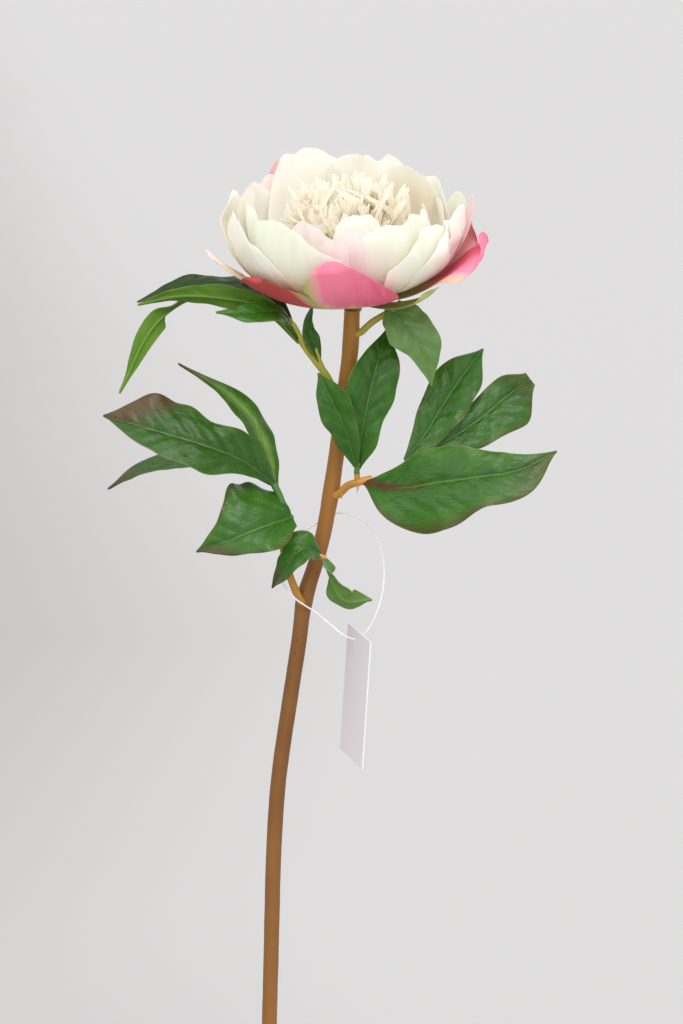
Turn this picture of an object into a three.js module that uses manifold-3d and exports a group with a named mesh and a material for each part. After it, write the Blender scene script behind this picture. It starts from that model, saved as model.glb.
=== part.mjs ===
// A single double peony, cut on a long stem, standing in a narrow-necked ceramic bud vase.
// Millimetres, +Z up. The origin is the centre of the vase's flat base.
// +X is to the right in the front view and +Y is away from the viewer.
import * as THREE from "three";
import { mergeVertices } from "three/addons/utils/BufferGeometryUtils.js";
import Module from "manifold-3d";

const wasm = await Module();
wasm.setup();

// Driving dimensions
const GAP = 0.3;
const SKIN = GAP + 0.05;
const VASE = { floor: 6, sides: 26, outsideSteps: 13, insideSteps: 11 };
const VASE_OUTSIDE = [[30, 0], [35.5, 18], [38, 48], [33, 82], [20, 116], [14, 140], [13.6, 158], [17, 175]];
const VASE_INSIDE = [
  [13.4, 174.2], [9.7, 163], [9.9, 146], [15.6, 120], [28.5, 85], [33.8, 50], [31.8, 22], [26, 6],
];
const WATER = { level: 106, gap: 1.5 * GAP };
const STEM = { radius: 3.6, sides: 8, steps: 34 };
const STEM_LINE = [
  [-1.2, 0, 6.4], [0.8, 0, 60], [3.6, 0, 120], [5.4, 0, 160], [5.9, 0, 185], [7, 0, 226], [8.1, 0, 265],
  [10.6, 0, 304], [16.1, 0, 343], [20.3, 0, 371], [23, 0, 391], [29, 0, 411], [31.5, 0, 421], [34.3, 0, 436],
  [39, 0, 468], [42, 0, 490], [44, -0.5, 508], [44.8, -2.6, 526.5],
];
const BLOOM = { base: [45, -3, 535], tilt: 13, lean: 5 };
const PETAL_THICKNESS = 0.8;
const LEAF_THICKNESS = 0.8;
const STALK_SIDES = 6;
const GOLDEN_ANGLE = 137.508;

// The two bowls that keep the layers of the bloom apart: guard petals lie outside the first, ivory
// petals between the two, and petaloids inside the second. Depth is from a bowl's rim to its bottom.
// A share is a petal's distance from a bowl's centre, as a part of the bowl's own. A bowl's section is
// an ellipse with the power given, which makes its sides steep.
const OUTER_BOWL = { left: 57.5, right: 60, front: 48, back: 51, depth: 48, bottom: 0 };
const INNER_BOWL = { left: 31, right: 31, front: 28, back: 30, depth: 43, bottom: 9 };
const IVORY_SHARE = { most: 0.983, least: 1.027 };
const GUARD_SHARE = { least: 1.017, most: 1.045 };
const SEPAL_SHARE = { least: 1.085, most: 1.12 };
const BOWL_POWER = 2.5;
const PETALOID_SHARE = 0.97;

// Small cores that the petals, sepals and petaloids of each layer grow from, as [radius, height].
const IVORY_CORE = [[0, 0], [9, 1], [14, 3], [13, 6], [9, 8], [0, 8.2]];
const GUARD_CORE = [[0, -2.6], [9, -2.3], [13, -0.6], [12, 0.4], [0, -0.4]];
const CALYX_CUP = [[0, -7.4], [4.4, -7.4], [8, -6.6], [12, -4.8], [13.4, -2.8], [9, -2.8], [0, -3]];
const PETALOID_DOME = [[0, 8.5], [5, 8.7], [8, 12], [8.4, 16], [6, 20], [0, 22]];
const CORE_SIDES = 16;

// Where the petals of each layer start, as [radius, height], and their faces along and across.
const IVORY = { root: [5, 2.5], along: 4, across: 3 };
const GUARD = { root: [5, -1.4], along: 4, across: 3 };
const SEPAL = { root: [6, -5], along: 4, across: 2, round: 0.6 };

// Form of every petal. Belly is where its middle line bulges out, as parts of the rim's radius and
// height. Its width grows from the root, as a part of the widest, to the place where it is widest.
const PETAL_FORM = {
  start: 0.85, belly: [1.15, 0.42], rimPower: 2.6, notchWidth: 0.18, rootWidth: 0.28, widestAt: 0.66,
  fullness: 1.05, cup: 0.85, leastCup: 25.5, waves: 5.2,
};
// Form of every leaflet: the fold along its midrib, the droop of its margins, and their waves.
const LEAF_FORM = { fold: 0.22, droop: 0.012, width: 0.97, wave: 0.09, waves: 9, shift: 2 };
const LEAF_GRID = { along: 6, across: 4 };

// Ivory petals: azimuth in degrees from +X towards the back, the rim's radius and height, the widest
// width, and how the rim is rounded, slanted, notched, waved and curled out. Corner rounds one end of
// the rim more than the other.
const IVORY_PETALS = [
  { az: 171, tip: [52, 49], width: 54, round: 0.2, belly: [1.36, 0.4], wave: 1.6, curl: -1 },
  { az: 204, tip: [52, 50], width: 34, round: 0.45, wave: 1.2, curl: 1 },
  { az: 227, tip: [45, 48], width: 64, round: 0.2, slant: 0.04, wave: 1.2, curl: 0 },
  { az: 307, tip: [40, 45], width: 58, round: 0.24, notch: 0.03, wave: 1.4, curl: 0.5 },
  { az: 333, tip: [49, 36], width: 38, round: 0.3, slant: -0.08, wave: 1, curl: 0.5 },
  { az: 1, tip: [62, 38], width: 36, round: 0.3, wave: 1.2, curl: 2.5 },
  { az: 20, tip: [59, 34], width: 30, round: 0.36, wave: 1.2, curl: 3 },
  { az: 44, tip: [50, 36], width: 42, round: 0.26, wave: 1.4, curl: 1 },
  { az: 72, tip: [51, 48], width: 42, round: 0.28, notch: 0.06, wave: 1.4, curl: 1.5 },
  { az: 104, tip: [52, 48], width: 46, round: 0.28, wave: 1.4, curl: 1.5 },
  { az: 138, tip: [52, 46], width: 44, round: 0.28, notch: 0.05, wave: 1.4, curl: 1.5 },
  { az: 187, tip: [42, 50], width: 42, round: 0.26, slant: 0.05, wave: 1.2, curl: 0 },
  { az: 158, tip: [46, 48], width: 44, round: 0.2, wave: 1.2, curl: 0.5 },
  { az: 118, tip: [45, 56], width: 50, round: 0.38, corner: 0.16, notch: 0.03, wave: 1.3, curl: 0.8 },
  { az: 84, tip: [44, 49.5], width: 34, round: 0.14, wave: 1, curl: 0.4 },
  { az: 46, tip: [43, 46], width: 58, round: 0.3, corner: -0.08, wave: 1.1, curl: 0.4 },
  { az: 8, tip: [42, 43], width: 40, round: 0.3, notch: 0.08, wave: 1.4, curl: 0.3 },
  { az: 275, tip: [38, 43], width: 32, round: 0.26, slant: -0.04, wave: 1, curl: 0 },
  { az: 248, tip: [36, 46], width: 36, round: 0.28, slant: 0.07, wave: 1.2, curl: 1.5 },
  { az: 281, tip: [31, 48], width: 32, round: 0.28, wave: 1, curl: 0 },
  { az: 345, tip: [36, 43], width: 24, round: 0.34, notch: 0.08, wave: 1, curl: 0 },
];
// Guard petals, outside the ivory ones. Flare is how far a rim stands off. The last one is the
// slender strip at the far left.
const GUARD_PETALS = [
  {
    az: 273, tip: [49, 29], width: 50, round: 0.42, corner: -0.02, slant: 0.3, wave: 1, curl: 2,
    flare: 0.04,
  },
  { az: 222, tip: [52, 22], width: 42, round: 0.3, slant: 0.08, wave: 1, curl: 0.5, flare: 0.03 },
  { az: 346, tip: [61, 25], width: 48, round: 0.34, corner: 0.08, slant: -0.14, wave: 0.3, flare: 0.2 },
  { az: 16, tip: [56, 26], width: 38, round: 0.3, wave: 1.2, curl: 1, flare: 0.08 },
  { az: 62, tip: [54, 36], width: 44, round: 0.3, wave: 1.2, curl: 1, flare: 0.1 },
  { az: 104, tip: [54, 33], width: 44, round: 0.3, wave: 1.2, curl: 1, flare: 0.1 },
  { az: 117, tip: [56, 48], width: 38, round: 0.3, wave: 1.2, curl: 1, flare: 0.1 },
  {
    az: 196, tip: [66, 31], width: 16, round: 0.4, start: 0.55, belly: [0.82, 0.6], wave: 0.2, curl: -1,
    flare: 0.5,
  },
];
const SEPALS = [
  { az: 324, tip: [42, 12], width: 17 },
  { az: 155, tip: [38, 11], width: 18 },
  { az: 95, tip: [40, 12], width: 20 },
  { az: 35, tip: [38, 12], width: 20 },
];
// Petaloids: low and high are the tips' heights at the rim of the tuft and in its middle.
const PETALOIDS = {
  count: 38, seed: 11, spread: 29.5, low: 42, high: 52, width: 3.8, thickness: 1.2,
  root: [2, 6.5], rootHeight: 13,
};

// Leaflets: points on the midrib from base to tip, the direction that the upper face looks at the base
// and at the tip, and the half widths at even stations on each side of the midrib.
const UPPER_LEFT = {
  stalks: [
    { radius: 1.7, line: [[37.5, -3.5, 489], [33, -6, 497], [28, -8, 504], [23, -9, 511], [19, -7, 517]] },
    { radius: 1.1, line: [[28, -8, 504], [24, -10.5, 509], [20, -15, 519], [16.5, -20, 525]] },
    { radius: 1.1, line: [[33, -6, 497], [30, -8.5, 504], [28, -10, 510]] },
    { radius: 1.1, line: [[20, -7.5, 515], [12, -1, 524], [4, 6, 529]] },
  ],
  leaflets: [
    {
      rib: [[21, -7, 512], [8, -3, 529], [-6, 4, 535.6], [-29, 12, 534.5], [-54, 18, 527]],
      face: [[-0.3, -0.5, 0.8], [-0.1, -0.35, 0.95]],
      left: [1, 5, 8, 8, 7, 0.4],
      right: [1, 5, 9, 8, 7, 0.4],
    },
    {
      rib: [[21, -8.5, 512], [6, -14, 529], [-14, -18, 534.2], [-34, -15, 534.5], [-52, -10, 530]],
      face: [[0.3, 0.9, 0.2], [0.1, 0.85, 0.5]],
      left: [1, 4.5, 6, 5, 3.5, 0.4],
      right: [1, 4, 5, 5, 3, 0.4],
    },
    {
      rib: [[6, 5, 528.5], [-14, 17, 531], [-31, 15, 528], [-46, 4, 517], [-61, -4, 488]],
      face: [[0, -0.2, 1], [0.55, 0.8, 0.1]],
      left: [1, 3, 3.4, 5, 5.5, 0.4],
      right: [1, 3, 3, 4, 4.5, 0.4],
    },
    {
      rib: [[17.5, -18.5, 523.5], [10, -25, 529], [-3, -30, 529], [-16, -32, 530]],
      face: [[0, -0.6, 0.8], [-0.1, -0.7, 0.7]],
      left: [1.5, 7.5, 8, 6.5, 3.5, 0.4],
      right: [1, 5, 6, 5.5, 3, 0.4],
    },
    {
      rib: [[30.5, -8, 502.5], [28, -10, 510], [24.5, -10, 520], [27, -6, 529]],
      face: [[0.6, -0.75, 0.2], [0.8, -0.6, 0.1]],
      left: [0.8, 2.4, 4, 4.2, 2.8, 0.4],
      right: [0.8, 2.4, 4, 4.2, 2.8, 0.4],
    },
  ],
};
const BRACT = {
  stalks: [{ radius: 1.6, line: [[48.3, -4, 516], [54, -7, 521.5], [60, -9, 525.5], [64, -10, 527.5]] }],
  leaflets: [
    {
      rib: [[62, -9, 528.8], [68, -12.5, 522], [76, -14, 511], [81, -12, 493]],
      face: [[0.25, -0.75, 0.6], [0.2, -0.95, 0.25]],
      left: [5, 10.5, 11.5, 10.5, 6.5, 0.4],
      right: [4, 10, 11.5, 9.5, 5, 0.4],
    },
  ],
};
const MIDDLE_RIGHT = {
  stalks: [
    { radius: 1.9, line: [[38.5, -3.5, 441], [43, -8, 446], [48, -12, 448.5], [54, -11.5, 450]] },
    { radius: 1.4, line: [[47.5, -11.5, 448], [47, -13, 453], [47.5, -13.5, 458]] },
    { radius: 1.3, line: [[53, -11.5, 449], [61, -9, 450.5], [70, -6, 455], [75, -3, 461]] },
  ],
  leaflets: [
    {
      rib: [[47.5, -13.5, 455], [49, -15, 470], [52, -14, 486], [56, -9, 502], [61, -1, 518]],
      face: [[0.1, -0.95, 0.2], [0.25, -0.9, 0.35]],
      left: [1.2, 4, 10, 12, 7.5, 0.4],
      right: [1.2, 7.5, 9.5, 11.5, 9.5, 0.4],
    },
    {
      rib: [[46.5, -14.5, 456], [42.5, -18, 472], [36.5, -20, 486], [29.5, -18, 500]],
      face: [[-0.2, -0.95, 0.1], [-0.15, -0.95, 0.25]],
      left: [1, 5.5, 7.5, 8, 6, 0.4],
      right: [1, 4.5, 6, 8, 6.5, 0.4],
    },
    {
      rib: [
        [50, -13, 448.5], [66, -24, 448], [84, -30, 452], [101, -33, 455], [119, -33, 458], [137, -28, 466],
      ],
      face: [[-0.1, -0.85, 0.5], [0.1, -0.85, 0.5]],
      left: [1, 13.5, 16.5, 14.5, 8.5, 0.4],
      right: [1, 17, 24, 16, 13.5, 0.4],
    },
    {
      rib: [[69, -6, 457.5], [78, 0, 468], [86, 6, 480], [95, 10, 493], [105, 12, 506]],
      face: [[-0.1, -0.95, 0.25], [0.1, -0.9, 0.4]],
      left: [1, 5.5, 9, 11.5, 9.5, 0.4],
      right: [1, 7, 10, 11.5, 9.5, 0.4],
    },
    {
      rib: [[69, -5.5, 457], [89, 4, 465], [104, 10, 474], [116, 16, 483], [127, 18, 491]],
      face: [[0, -0.9, 0.4], [0.1, -0.9, 0.4]],
      left: [1, 4.5, 7.5, 8.5, 9.5, 3.5],
      right: [1, 6, 12, 15, 15, 4],
    },
  ],
};
const LOWER_LEFT = {
  stalks: [
    {
      radius: 1.8,
      line: [
        [21.2, -3.5, 391], [17, -5.5, 401], [14, -8, 413], [12, -10, 426], [13, -11.5, 438], [9, -11, 448],
      ],
    },
    { radius: 1.4, line: [[14.2, -8, 412], [20, -11, 415], [26, -12, 415], [33, -12.2, 413]] },
    { radius: 1.3, line: [[12.4, -10.5, 429], [15, -13, 431], [17.5, -14.5, 433]] },
  ],
  leaflets: [
    {
      rib: [
        [9.5, -11.5, 447.5], [-6, -18, 460], [-21, -22, 467], [-37, -22, 472], [-52, -20, 476],
        [-68, -15, 480],
      ],
      face: [[0.3, -0.8, 0.55], [0.1, -0.8, 0.6]],
      left: [1, 8, 13.5, 12.5, 8, 0.4],
      right: [1, 13, 13, 19, 16.5, 0.4],
    },
    {
      rib: [[10.5, -10, 446], [6, 0, 460], [-2, 6, 475], [-15, 10, 487], [-35, 14, 499]],
      face: [[0.75, -0.6, 0.3], [0.55, -0.8, 0.3]],
      left: [1, 5, 7.5, 6, 2.4, 0.4],
      right: [1, 5, 7.5, 6.5, 2.4, 0.4],
    },
    {
      rib: [[9, -9.5, 446.5], [-7, 6, 452], [-23, 16, 452], [-49, 24, 449], [-69, 24, 438]],
      face: [[0, -0.35, 0.95], [0, -0.5, 0.85]],
      left: [1, 4, 6, 6.5, 4.5, 0.4],
      right: [1, 4, 6, 6.5, 4.5, 0.4],
    },
    {
      rib: [[17.5, -14, 432.5], [4, -24, 430], [-10, -28, 425], [-26, -25, 419]],
      face: [[-0.1, -0.9, 0.4], [-0.1, -0.9, 0.4]],
      left: [5, 12, 12.5, 9, 5, 0.4],
      right: [13, 24, 25, 18, 8, 0.4],
    },
    {
      rib: [[31, -12, 414], [23, -18, 419], [16, -20, 412], [8, -16, 400]],
      face: [[-0.1, -0.75, 0.65], [-0.6, -0.75, 0.3]],
      left: [1, 6, 7.5, 5.5, 5, 0.4],
      right: [1, 7, 9.5, 7, 5, 0.4],
    },
    {
      rib: [[32, -12.4, 413.5], [35, -15, 405], [41, -14, 394], [54, -10, 393]],
      face: [[0.7, -0.5, 0.2], [0.1, 1.2, 0.5]],
      left: [1, 6, 7, 8.5, 6.5, 0.4],
      right: [1, 6, 7, 8.5, 6.5, 0.4],
    },
  ],
};

// Tag and its loop
const TAG = { corner: [43, 6, 378], across: [10, -36, 0], down: [-4, 0, -60], thickness: 0.6 };
const TAG_HOLE = { centre: [11.2, 5.4], radius: 1.7, steps: 5 };
const LOOP = { radius: 0.4, knotRadius: 1.1, sides: 8, steps: 56 };
const LOOP_LINE = [
  [47.4, -5, 372.9], [44, -5.4, 373.6], [40, -6.4, 376], [34.5, -5.6, 380.5], [28.5, -4.9, 385.5],
  [23, -6.4, 389.5], [18.2, -8.4, 393.6], [13.6, -7, 399], [11.6, -2, 404.5], [13, 3, 411],
  [18, 6, 417.5], [25, 6.4, 423], [32.6, 4.9, 428], [39, 4.6, 430.5], [46, 3, 429.5],
  [52.5, 0.5, 425.5], [57, -2, 418.5], [59.3, -4, 409], [59.2, -6, 398], [56.5, -7, 387],
  [52.5, -6.2, 378.5], [47.6, -5, 373],
];

// Vectors and numbers
const vec = (p) => new THREE.Vector3(...p);
const rad = THREE.MathUtils.degToRad;
const mix = THREE.MathUtils.lerp;

// Value on a smooth line through evenly spaced stations, at t from 0 to 1.
function station(values, t) {
  const last = values.length - 1;
  const place = Math.min(t * last, last - 1e-9);
  const i = Math.floor(place);
  const f = place - i;
  const before = values[Math.max(i - 1, 0)];
  const after = values[Math.min(i + 2, last)];
  const slope0 = (values[i + 1] - before) / 2;
  const slope1 = (after - values[i]) / 2;
  const rise = values[i + 1] - values[i];
  return values[i] + f * (slope0 + f * (3 * rise - 2 * slope0 - slope1 + f * (slope0 + slope1 - 2 * rise)));
}

// Closed geometry to solid and back
function toSolid(geometry) {
  const bare = geometry.index ? geometry.toNonIndexed() : geometry.clone();
  bare.deleteAttribute("normal");
  bare.deleteAttribute("uv");
  const merged = mergeVertices(bare, 1e-3);
  const index = merged.index.array;
  const kept = [];
  for (let i = 0; i < index.length; i += 3) {
    const [a, b, c] = index.slice(i, i + 3);
    if (a !== b && b !== c && c !== a) kept.push(a, b, c);
  }
  const mesh = new wasm.Mesh({
    numProp: 3,
    vertProperties: merged.attributes.position.array,
    triVerts: new Uint32Array(kept),
  });
  return new wasm.Manifold(mesh);
}

function toGeometry(solid) {
  const { numProp, numVert, vertProperties, triVerts } = solid.getMesh();
  const position = new Float32Array(numVert * 3);
  for (let i = 0; i < numVert; i++) {
    position.set(vertProperties.subarray(i * numProp, i * numProp + 3), i * 3);
  }
  const geometry = new THREE.BufferGeometry();
  geometry.setAttribute("position", new THREE.BufferAttribute(position, 3));
  geometry.setIndex(new THREE.BufferAttribute(new Uint32Array(triVerts), 1));
  return geometry;
}

// The largest closed surface of a solid: a hollow that joining seals is filled, and a scrap is dropped.
function largest(solid) {
  return solid.decompose().reduce((a, b) => (b.volume() > a.volume() ? b : a));
}

function join(solids) {
  return largest(solids.reduce((whole, piece) => whole.add(piece)));
}

// Round bodies: a profile of [radius, height] pairs turned about +Z, and a round bar along a line.
function turned(profile, sides) {
  const points = profile.map(([r, h]) => new THREE.Vector2(r, h));
  return toSolid(new THREE.LatheGeometry(points, sides).rotateX(Math.PI / 2));
}

function bar(line, radius, sides, steps) {
  const outline = new THREE.Shape();
  for (let i = 0; i < sides; i++) {
    const turn = (i / sides) * 2 * Math.PI;
    outline[i ? "lineTo" : "moveTo"](radius * Math.cos(turn), radius * Math.sin(turn));
  }
  const path = new THREE.CatmullRomCurve3(line.map(vec));
  return toSolid(new THREE.ExtrudeGeometry(outline, { steps, extrudePath: path, bevelEnabled: false }));
}

// Blade: a thin closed sheet about a curved middle surface. point(s, v) gives that surface, with s from
// 0 at the root to 1 at the tip and v from -1 to 1 across. Both faces are split into triangles alike.
function blade(point, along, across, thickness) {
  const row = across + 1;
  const middle = [];
  for (let i = 0; i <= along; i++) {
    for (let j = 0; j <= across; j++) middle.push(point(i / along, (2 * j) / across - 1));
  }
  const at = (i, j) => middle[i * row + j];
  const faces = [[], []];
  for (let i = 0; i <= along; i++) {
    for (let j = 0; j <= across; j++) {
      const lengthwise = at(Math.min(i + 1, along), j).clone().sub(at(Math.max(i - 1, 0), j));
      const crosswise = at(i, Math.min(j + 1, across)).clone().sub(at(i, Math.max(j - 1, 0)));
      const half = crosswise.cross(lengthwise).normalize().multiplyScalar(thickness / 2);
      faces[0].push(at(i, j).clone().add(half));
      faces[1].push(at(i, j).clone().sub(half));
    }
  }
  const points = [...faces[0], ...faces[1]];
  const count = faces[0].length;
  const index = [];
  for (let i = 0; i < along; i++) {
    for (let j = 0; j < across; j++) {
      const a = i * row + j;
      const b = a + 1;
      const c = a + row + 1;
      const d = a + row;
      index.push(a, b, c, a, c, d);
      index.push(count + a, count + c, count + b, count + a, count + d, count + c);
    }
  }
  const border = [];
  for (let j = 0; j < across; j++) border.push(j);
  for (let i = 0; i < along; i++) border.push(i * row + across);
  for (let j = across; j > 0; j--) border.push(along * row + j);
  for (let i = along; i > 0; i--) border.push(i * row);
  border.forEach((p, k) => {
    const q = border[(k + 1) % border.length];
    index.push(p, count + p, count + q, p, count + q, q);
  });
  const geometry = new THREE.BufferGeometry();
  geometry.setAttribute("position", new THREE.Float32BufferAttribute(points.flatMap((p) => p.toArray()), 3));
  geometry.setIndex(index);
  return toSolid(geometry);
}

// Bloom frame: the bloom's own axis tilts towards the viewer and leans a little to the left.
const bloomPlace = new THREE.Matrix4()
  .makeRotationX(rad(BLOOM.tilt))
  .multiply(new THREE.Matrix4().makeRotationY(-rad(BLOOM.lean)))
  .setPosition(vec(BLOOM.base));

function bowlShare(p, bowl) {
  const radius = Math.hypot(p.x, p.y) || 1e-6;
  const lengthwise = p.y < 0 ? bowl.front : bowl.back;
  const sideways = p.x < 0 ? bowl.left : bowl.right;
  const reach = mix(lengthwise, sideways, (p.x / radius) ** 2);
  const below = Math.max(bowl.bottom + bowl.depth - p.z, 0) / bowl.depth;
  return ((radius / reach) ** BOWL_POWER + below ** BOWL_POWER) ** (1 / BOWL_POWER);
}

// Moves a point towards or away from the bowl's centre until its share is between least and most.
function between(p, bowl, least, most) {
  const share = bowlShare(p, bowl);
  const k = THREE.MathUtils.clamp(share, least, most) / share;
  const centre = bowl.bottom + bowl.depth;
  return new THREE.Vector3(p.x * k, p.y * k, p.z < centre ? centre + (p.z - centre) * k : p.z);
}

// Petal in the bloom's frame. Its middle line is a cubic curve that leaves the axis almost flat and
// turns up to the rim, and its cross-section is an arc that cups round the axis.
function petalPoint(petal, s, v) {
  const form = PETAL_FORM;
  const { az, tip, width, root, start = form.start, belly = form.belly } = petal;
  const { round = 0.3, corner = 0, slant = 0, notch = 0, wave = 0, curl = 0 } = petal;
  const dent = notch * Math.exp(-((v / form.notchWidth) ** 2));
  const rounding = (round + corner * Math.sign(v)) * Math.abs(v) ** form.rimPower;
  const t = s * (1 - rounding - slant * v - dent);
  const line = new THREE.CubicBezierCurve(
    new THREE.Vector2(...root),
    new THREE.Vector2(tip[0] * start, root[1]),
    new THREE.Vector2(tip[0] * belly[0], tip[1] * belly[1]),
    new THREE.Vector2(...tip),
  );
  const on = line.getPoint(t);
  const tangent = line.getTangent(Math.min(t, 1));
  const growth = Math.sin(Math.min(t / form.widestAt, 1) * (Math.PI / 2)) ** form.fullness;
  const half = (width / 2) * mix(form.rootWidth, 1, growth);
  const cup = Math.max(tip[0] * form.cup, form.leastCup);
  const turn = (v * half) / cup;
  const ripple = wave * t * t * Math.sin(v * form.waves + az);
  const lip = curl * Math.max((t - form.widestAt) / (1 - form.widestAt), 0) ** 2;
  const inward = cup * (1 - Math.cos(turn)) + ripple - lip;
  const radius = on.x - tangent.y * inward;
  const height = on.y + tangent.x * inward;
  const sideways = cup * Math.sin(turn);
  const a = rad(az);
  return new THREE.Vector3(
    radius * Math.cos(a) - sideways * Math.sin(a),
    radius * Math.sin(a) + sideways * Math.cos(a),
    height,
  );
}

function petalBlade(layer, petal, limit) {
  const whole = { ...layer, ...petal };
  const point = (s, v) => limit(petalPoint(whole, s, v), s).applyMatrix4(bloomPlace);
  return blade(point, layer.along, layer.across, PETAL_THICKNESS);
}

const core = (profile) => turned(profile, CORE_SIDES).transform(bloomPlace.elements);

function ivoryPetals() {
  const limit = (p) => {
    const shell = between(p, OUTER_BOWL, 0, IVORY_SHARE.most);
    return between(shell, INNER_BOWL, IVORY_SHARE.least, Infinity);
  };
  return join([core(IVORY_CORE), ...IVORY_PETALS.map((petal) => petalBlade(IVORY, petal, limit))]);
}

function guardPetals() {
  const { least, most } = GUARD_SHARE;
  const guard = (petal) => {
    const limit = (p, s) => between(p, OUTER_BOWL, least, most + petal.flare * s ** 5);
    return petalBlade(GUARD, petal, limit);
  };
  return join([core(GUARD_CORE), ...GUARD_PETALS.map(guard)]);
}

function calyx() {
  const limit = (p) => between(p, OUTER_BOWL, SEPAL_SHARE.least, SEPAL_SHARE.most);
  return join([core(CALYX_CUP), ...SEPALS.map((sepal) => petalBlade(SEPAL, sepal, limit))]);
}

// Petaloids: slim strips that rise from a small dome, placed by the golden angle.
function petaloids() {
  const { count, seed, spread, low, high, width, thickness, root, rootHeight } = PETALOIDS;
  let state = seed;
  const random = () => {
    state = (state * 16807) % 2147483647;
    return state / 2147483647;
  };
  const strips = [];
  for (let i = 0; i < count; i++) {
    const a = i * rad(GOLDEN_ANGLE);
    const share = Math.sqrt((i + 0.5) / count);
    const reach = spread * share;
    const top = mix(high, low, share ** 2) + 5 * (random() - 0.5);
    const line = new THREE.CubicBezierCurve(
      new THREE.Vector2(mix(root[0], root[1], share), rootHeight),
      new THREE.Vector2(reach * 0.8, rootHeight * 1.5),
      new THREE.Vector2(reach * 1.02, top * 0.7),
      new THREE.Vector2(reach * (0.9 + 0.2 * random()), top),
    );
    const twist = 0.5 * (random() - 0.5);
    const wide = width * (0.8 + 0.4 * random());
    const point = (s, v) => {
      const on = line.getPoint(s);
      const half = (wide / 2) * (0.3 + 0.7 * Math.sin(Math.PI * (0.1 + 0.75 * s)));
      const turn = a + twist * s;
      const p = new THREE.Vector3(
        on.x * Math.cos(turn) - v * half * Math.sin(turn),
        on.x * Math.sin(turn) + v * half * Math.cos(turn),
        on.y,
      );
      return between(p, INNER_BOWL, 0, PETALOID_SHARE).applyMatrix4(bloomPlace);
    };
    strips.push(blade(point, 2, 1, thickness));
  }
  return join([core(PETALOID_DOME), ...strips]);
}

// Leaflet: a blade about a midrib, folded up along it a little and waved towards its margins.
function leafletBlade({ rib, face, left, right }, index) {
  const form = LEAF_FORM;
  const line = new THREE.CatmullRomCurve3(rib.map(vec));
  const point = (s, v) => {
    const on = line.getPoint(s);
    const ahead = line.getTangent(s);
    const up = vec(face[0]).lerp(vec(face[1]), s);
    const side = ahead.clone().cross(up).normalize();
    const normal = side.clone().cross(ahead).normalize();
    const half = station(v < 0 ? left : right, s);
    const across = v * half;
    const rise = form.fold * Math.abs(across) - form.droop * across * across;
    const phase = form.waves * s + index + (v < 0 ? form.shift : 0);
    const ripple = form.wave * half * v * v * Math.sin(phase);
    return on.addScaledVector(side, across * form.width).addScaledVector(normal, rise + ripple);
  };
  return blade(point, LEAF_GRID.along, LEAF_GRID.across, LEAF_THICKNESS);
}

// The stem, and the space that its neighbours leave for it
const stemBar = (radius) => bar(STEM_LINE, radius, STEM.sides, STEM.steps);
const stemClear = stemBar(STEM.radius + SKIN);

function leaf({ stalks, leaflets }) {
  const bars = stalks.map(({ line, radius }) => bar(line, radius, STALK_SIDES, 2 * line.length));
  return largest(join([...bars, ...leaflets.map(leafletBlade)]).subtract(stemClear));
}

// Vase and water
function smooth(profile, count) {
  const curve = new THREE.SplineCurve(profile.map((p) => new THREE.Vector2(...p)));
  return curve.getPoints(count).map((p) => p.toArray());
}

function vase() {
  const outside = smooth(VASE_OUTSIDE, VASE.outsideSteps);
  const within = smooth(VASE_INSIDE, VASE.insideSteps);
  return turned([[0, 0], ...outside, ...within, [0, VASE.floor]], VASE.sides);
}

function water() {
  const { level, gap } = WATER;
  const wall = smooth(VASE_INSIDE, VASE.insideSteps).reverse();
  const above = wall.findIndex(([, h]) => h > level);
  const [[r0, h0], [r1, h1]] = [wall[above - 1], wall[above]];
  const rim = mix(r0, r1, (level - h0) / (h1 - h0));
  const bottom = VASE.floor + GAP;
  const edge = [...wall.slice(0, above), [rim, level]].map(([r, h]) => [r - gap, Math.max(h, bottom)]);
  const clear = STEM.radius + SKIN;
  const heel = [[0, VASE.floor], [clear, VASE.floor], [clear, bottom + 1], [0, bottom + 1]];
  const [x, y] = STEM_LINE[0];
  const under = turned(heel, VASE.sides).translate([x, y, 0]);
  return turned([[0, bottom], ...edge, [0, level]], VASE.sides).subtract(stemClear).subtract(under);
}

// Tag and loop
function tag() {
  const { corner, across, down, thickness } = TAG;
  const wide = vec(across);
  const tall = vec(down);
  const plate = new THREE.Shape();
  plate.moveTo(0, 0);
  plate.lineTo(wide.length(), 0);
  plate.lineTo(wide.length(), tall.length());
  plate.lineTo(0, tall.length());
  const hole = new THREE.Path();
  hole.absarc(...TAG_HOLE.centre, TAG_HOLE.radius, 0, 2 * Math.PI);
  plate.holes.push(hole);
  const options = { depth: thickness, bevelEnabled: false, curveSegments: TAG_HOLE.steps };
  const geometry = new THREE.ExtrudeGeometry(plate, options);
  const x = wide.clone().normalize();
  const z = x.clone().cross(tall).normalize();
  const y = z.clone().cross(x);
  geometry.applyMatrix4(new THREE.Matrix4().makeBasis(x, y, z).setPosition(vec(corner)));
  return toSolid(geometry);
}

function tagLoop() {
  const cord = bar(LOOP_LINE, LOOP.radius, LOOP.sides, LOOP.steps);
  const knot = new THREE.SphereGeometry(LOOP.knotRadius, LOOP.sides, LOOP.sides).translate(...LOOP_LINE[0]);
  return cord.add(toSolid(knot));
}

// Scene graph
const part = new THREE.Group();

function place(name, solid, color, roughness) {
  const material = new THREE.MeshStandardMaterial({ color, roughness, metalness: 0 });
  const mesh = new THREE.Mesh(toGeometry(solid), material);
  mesh.name = name;
  part.add(mesh);
}

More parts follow.
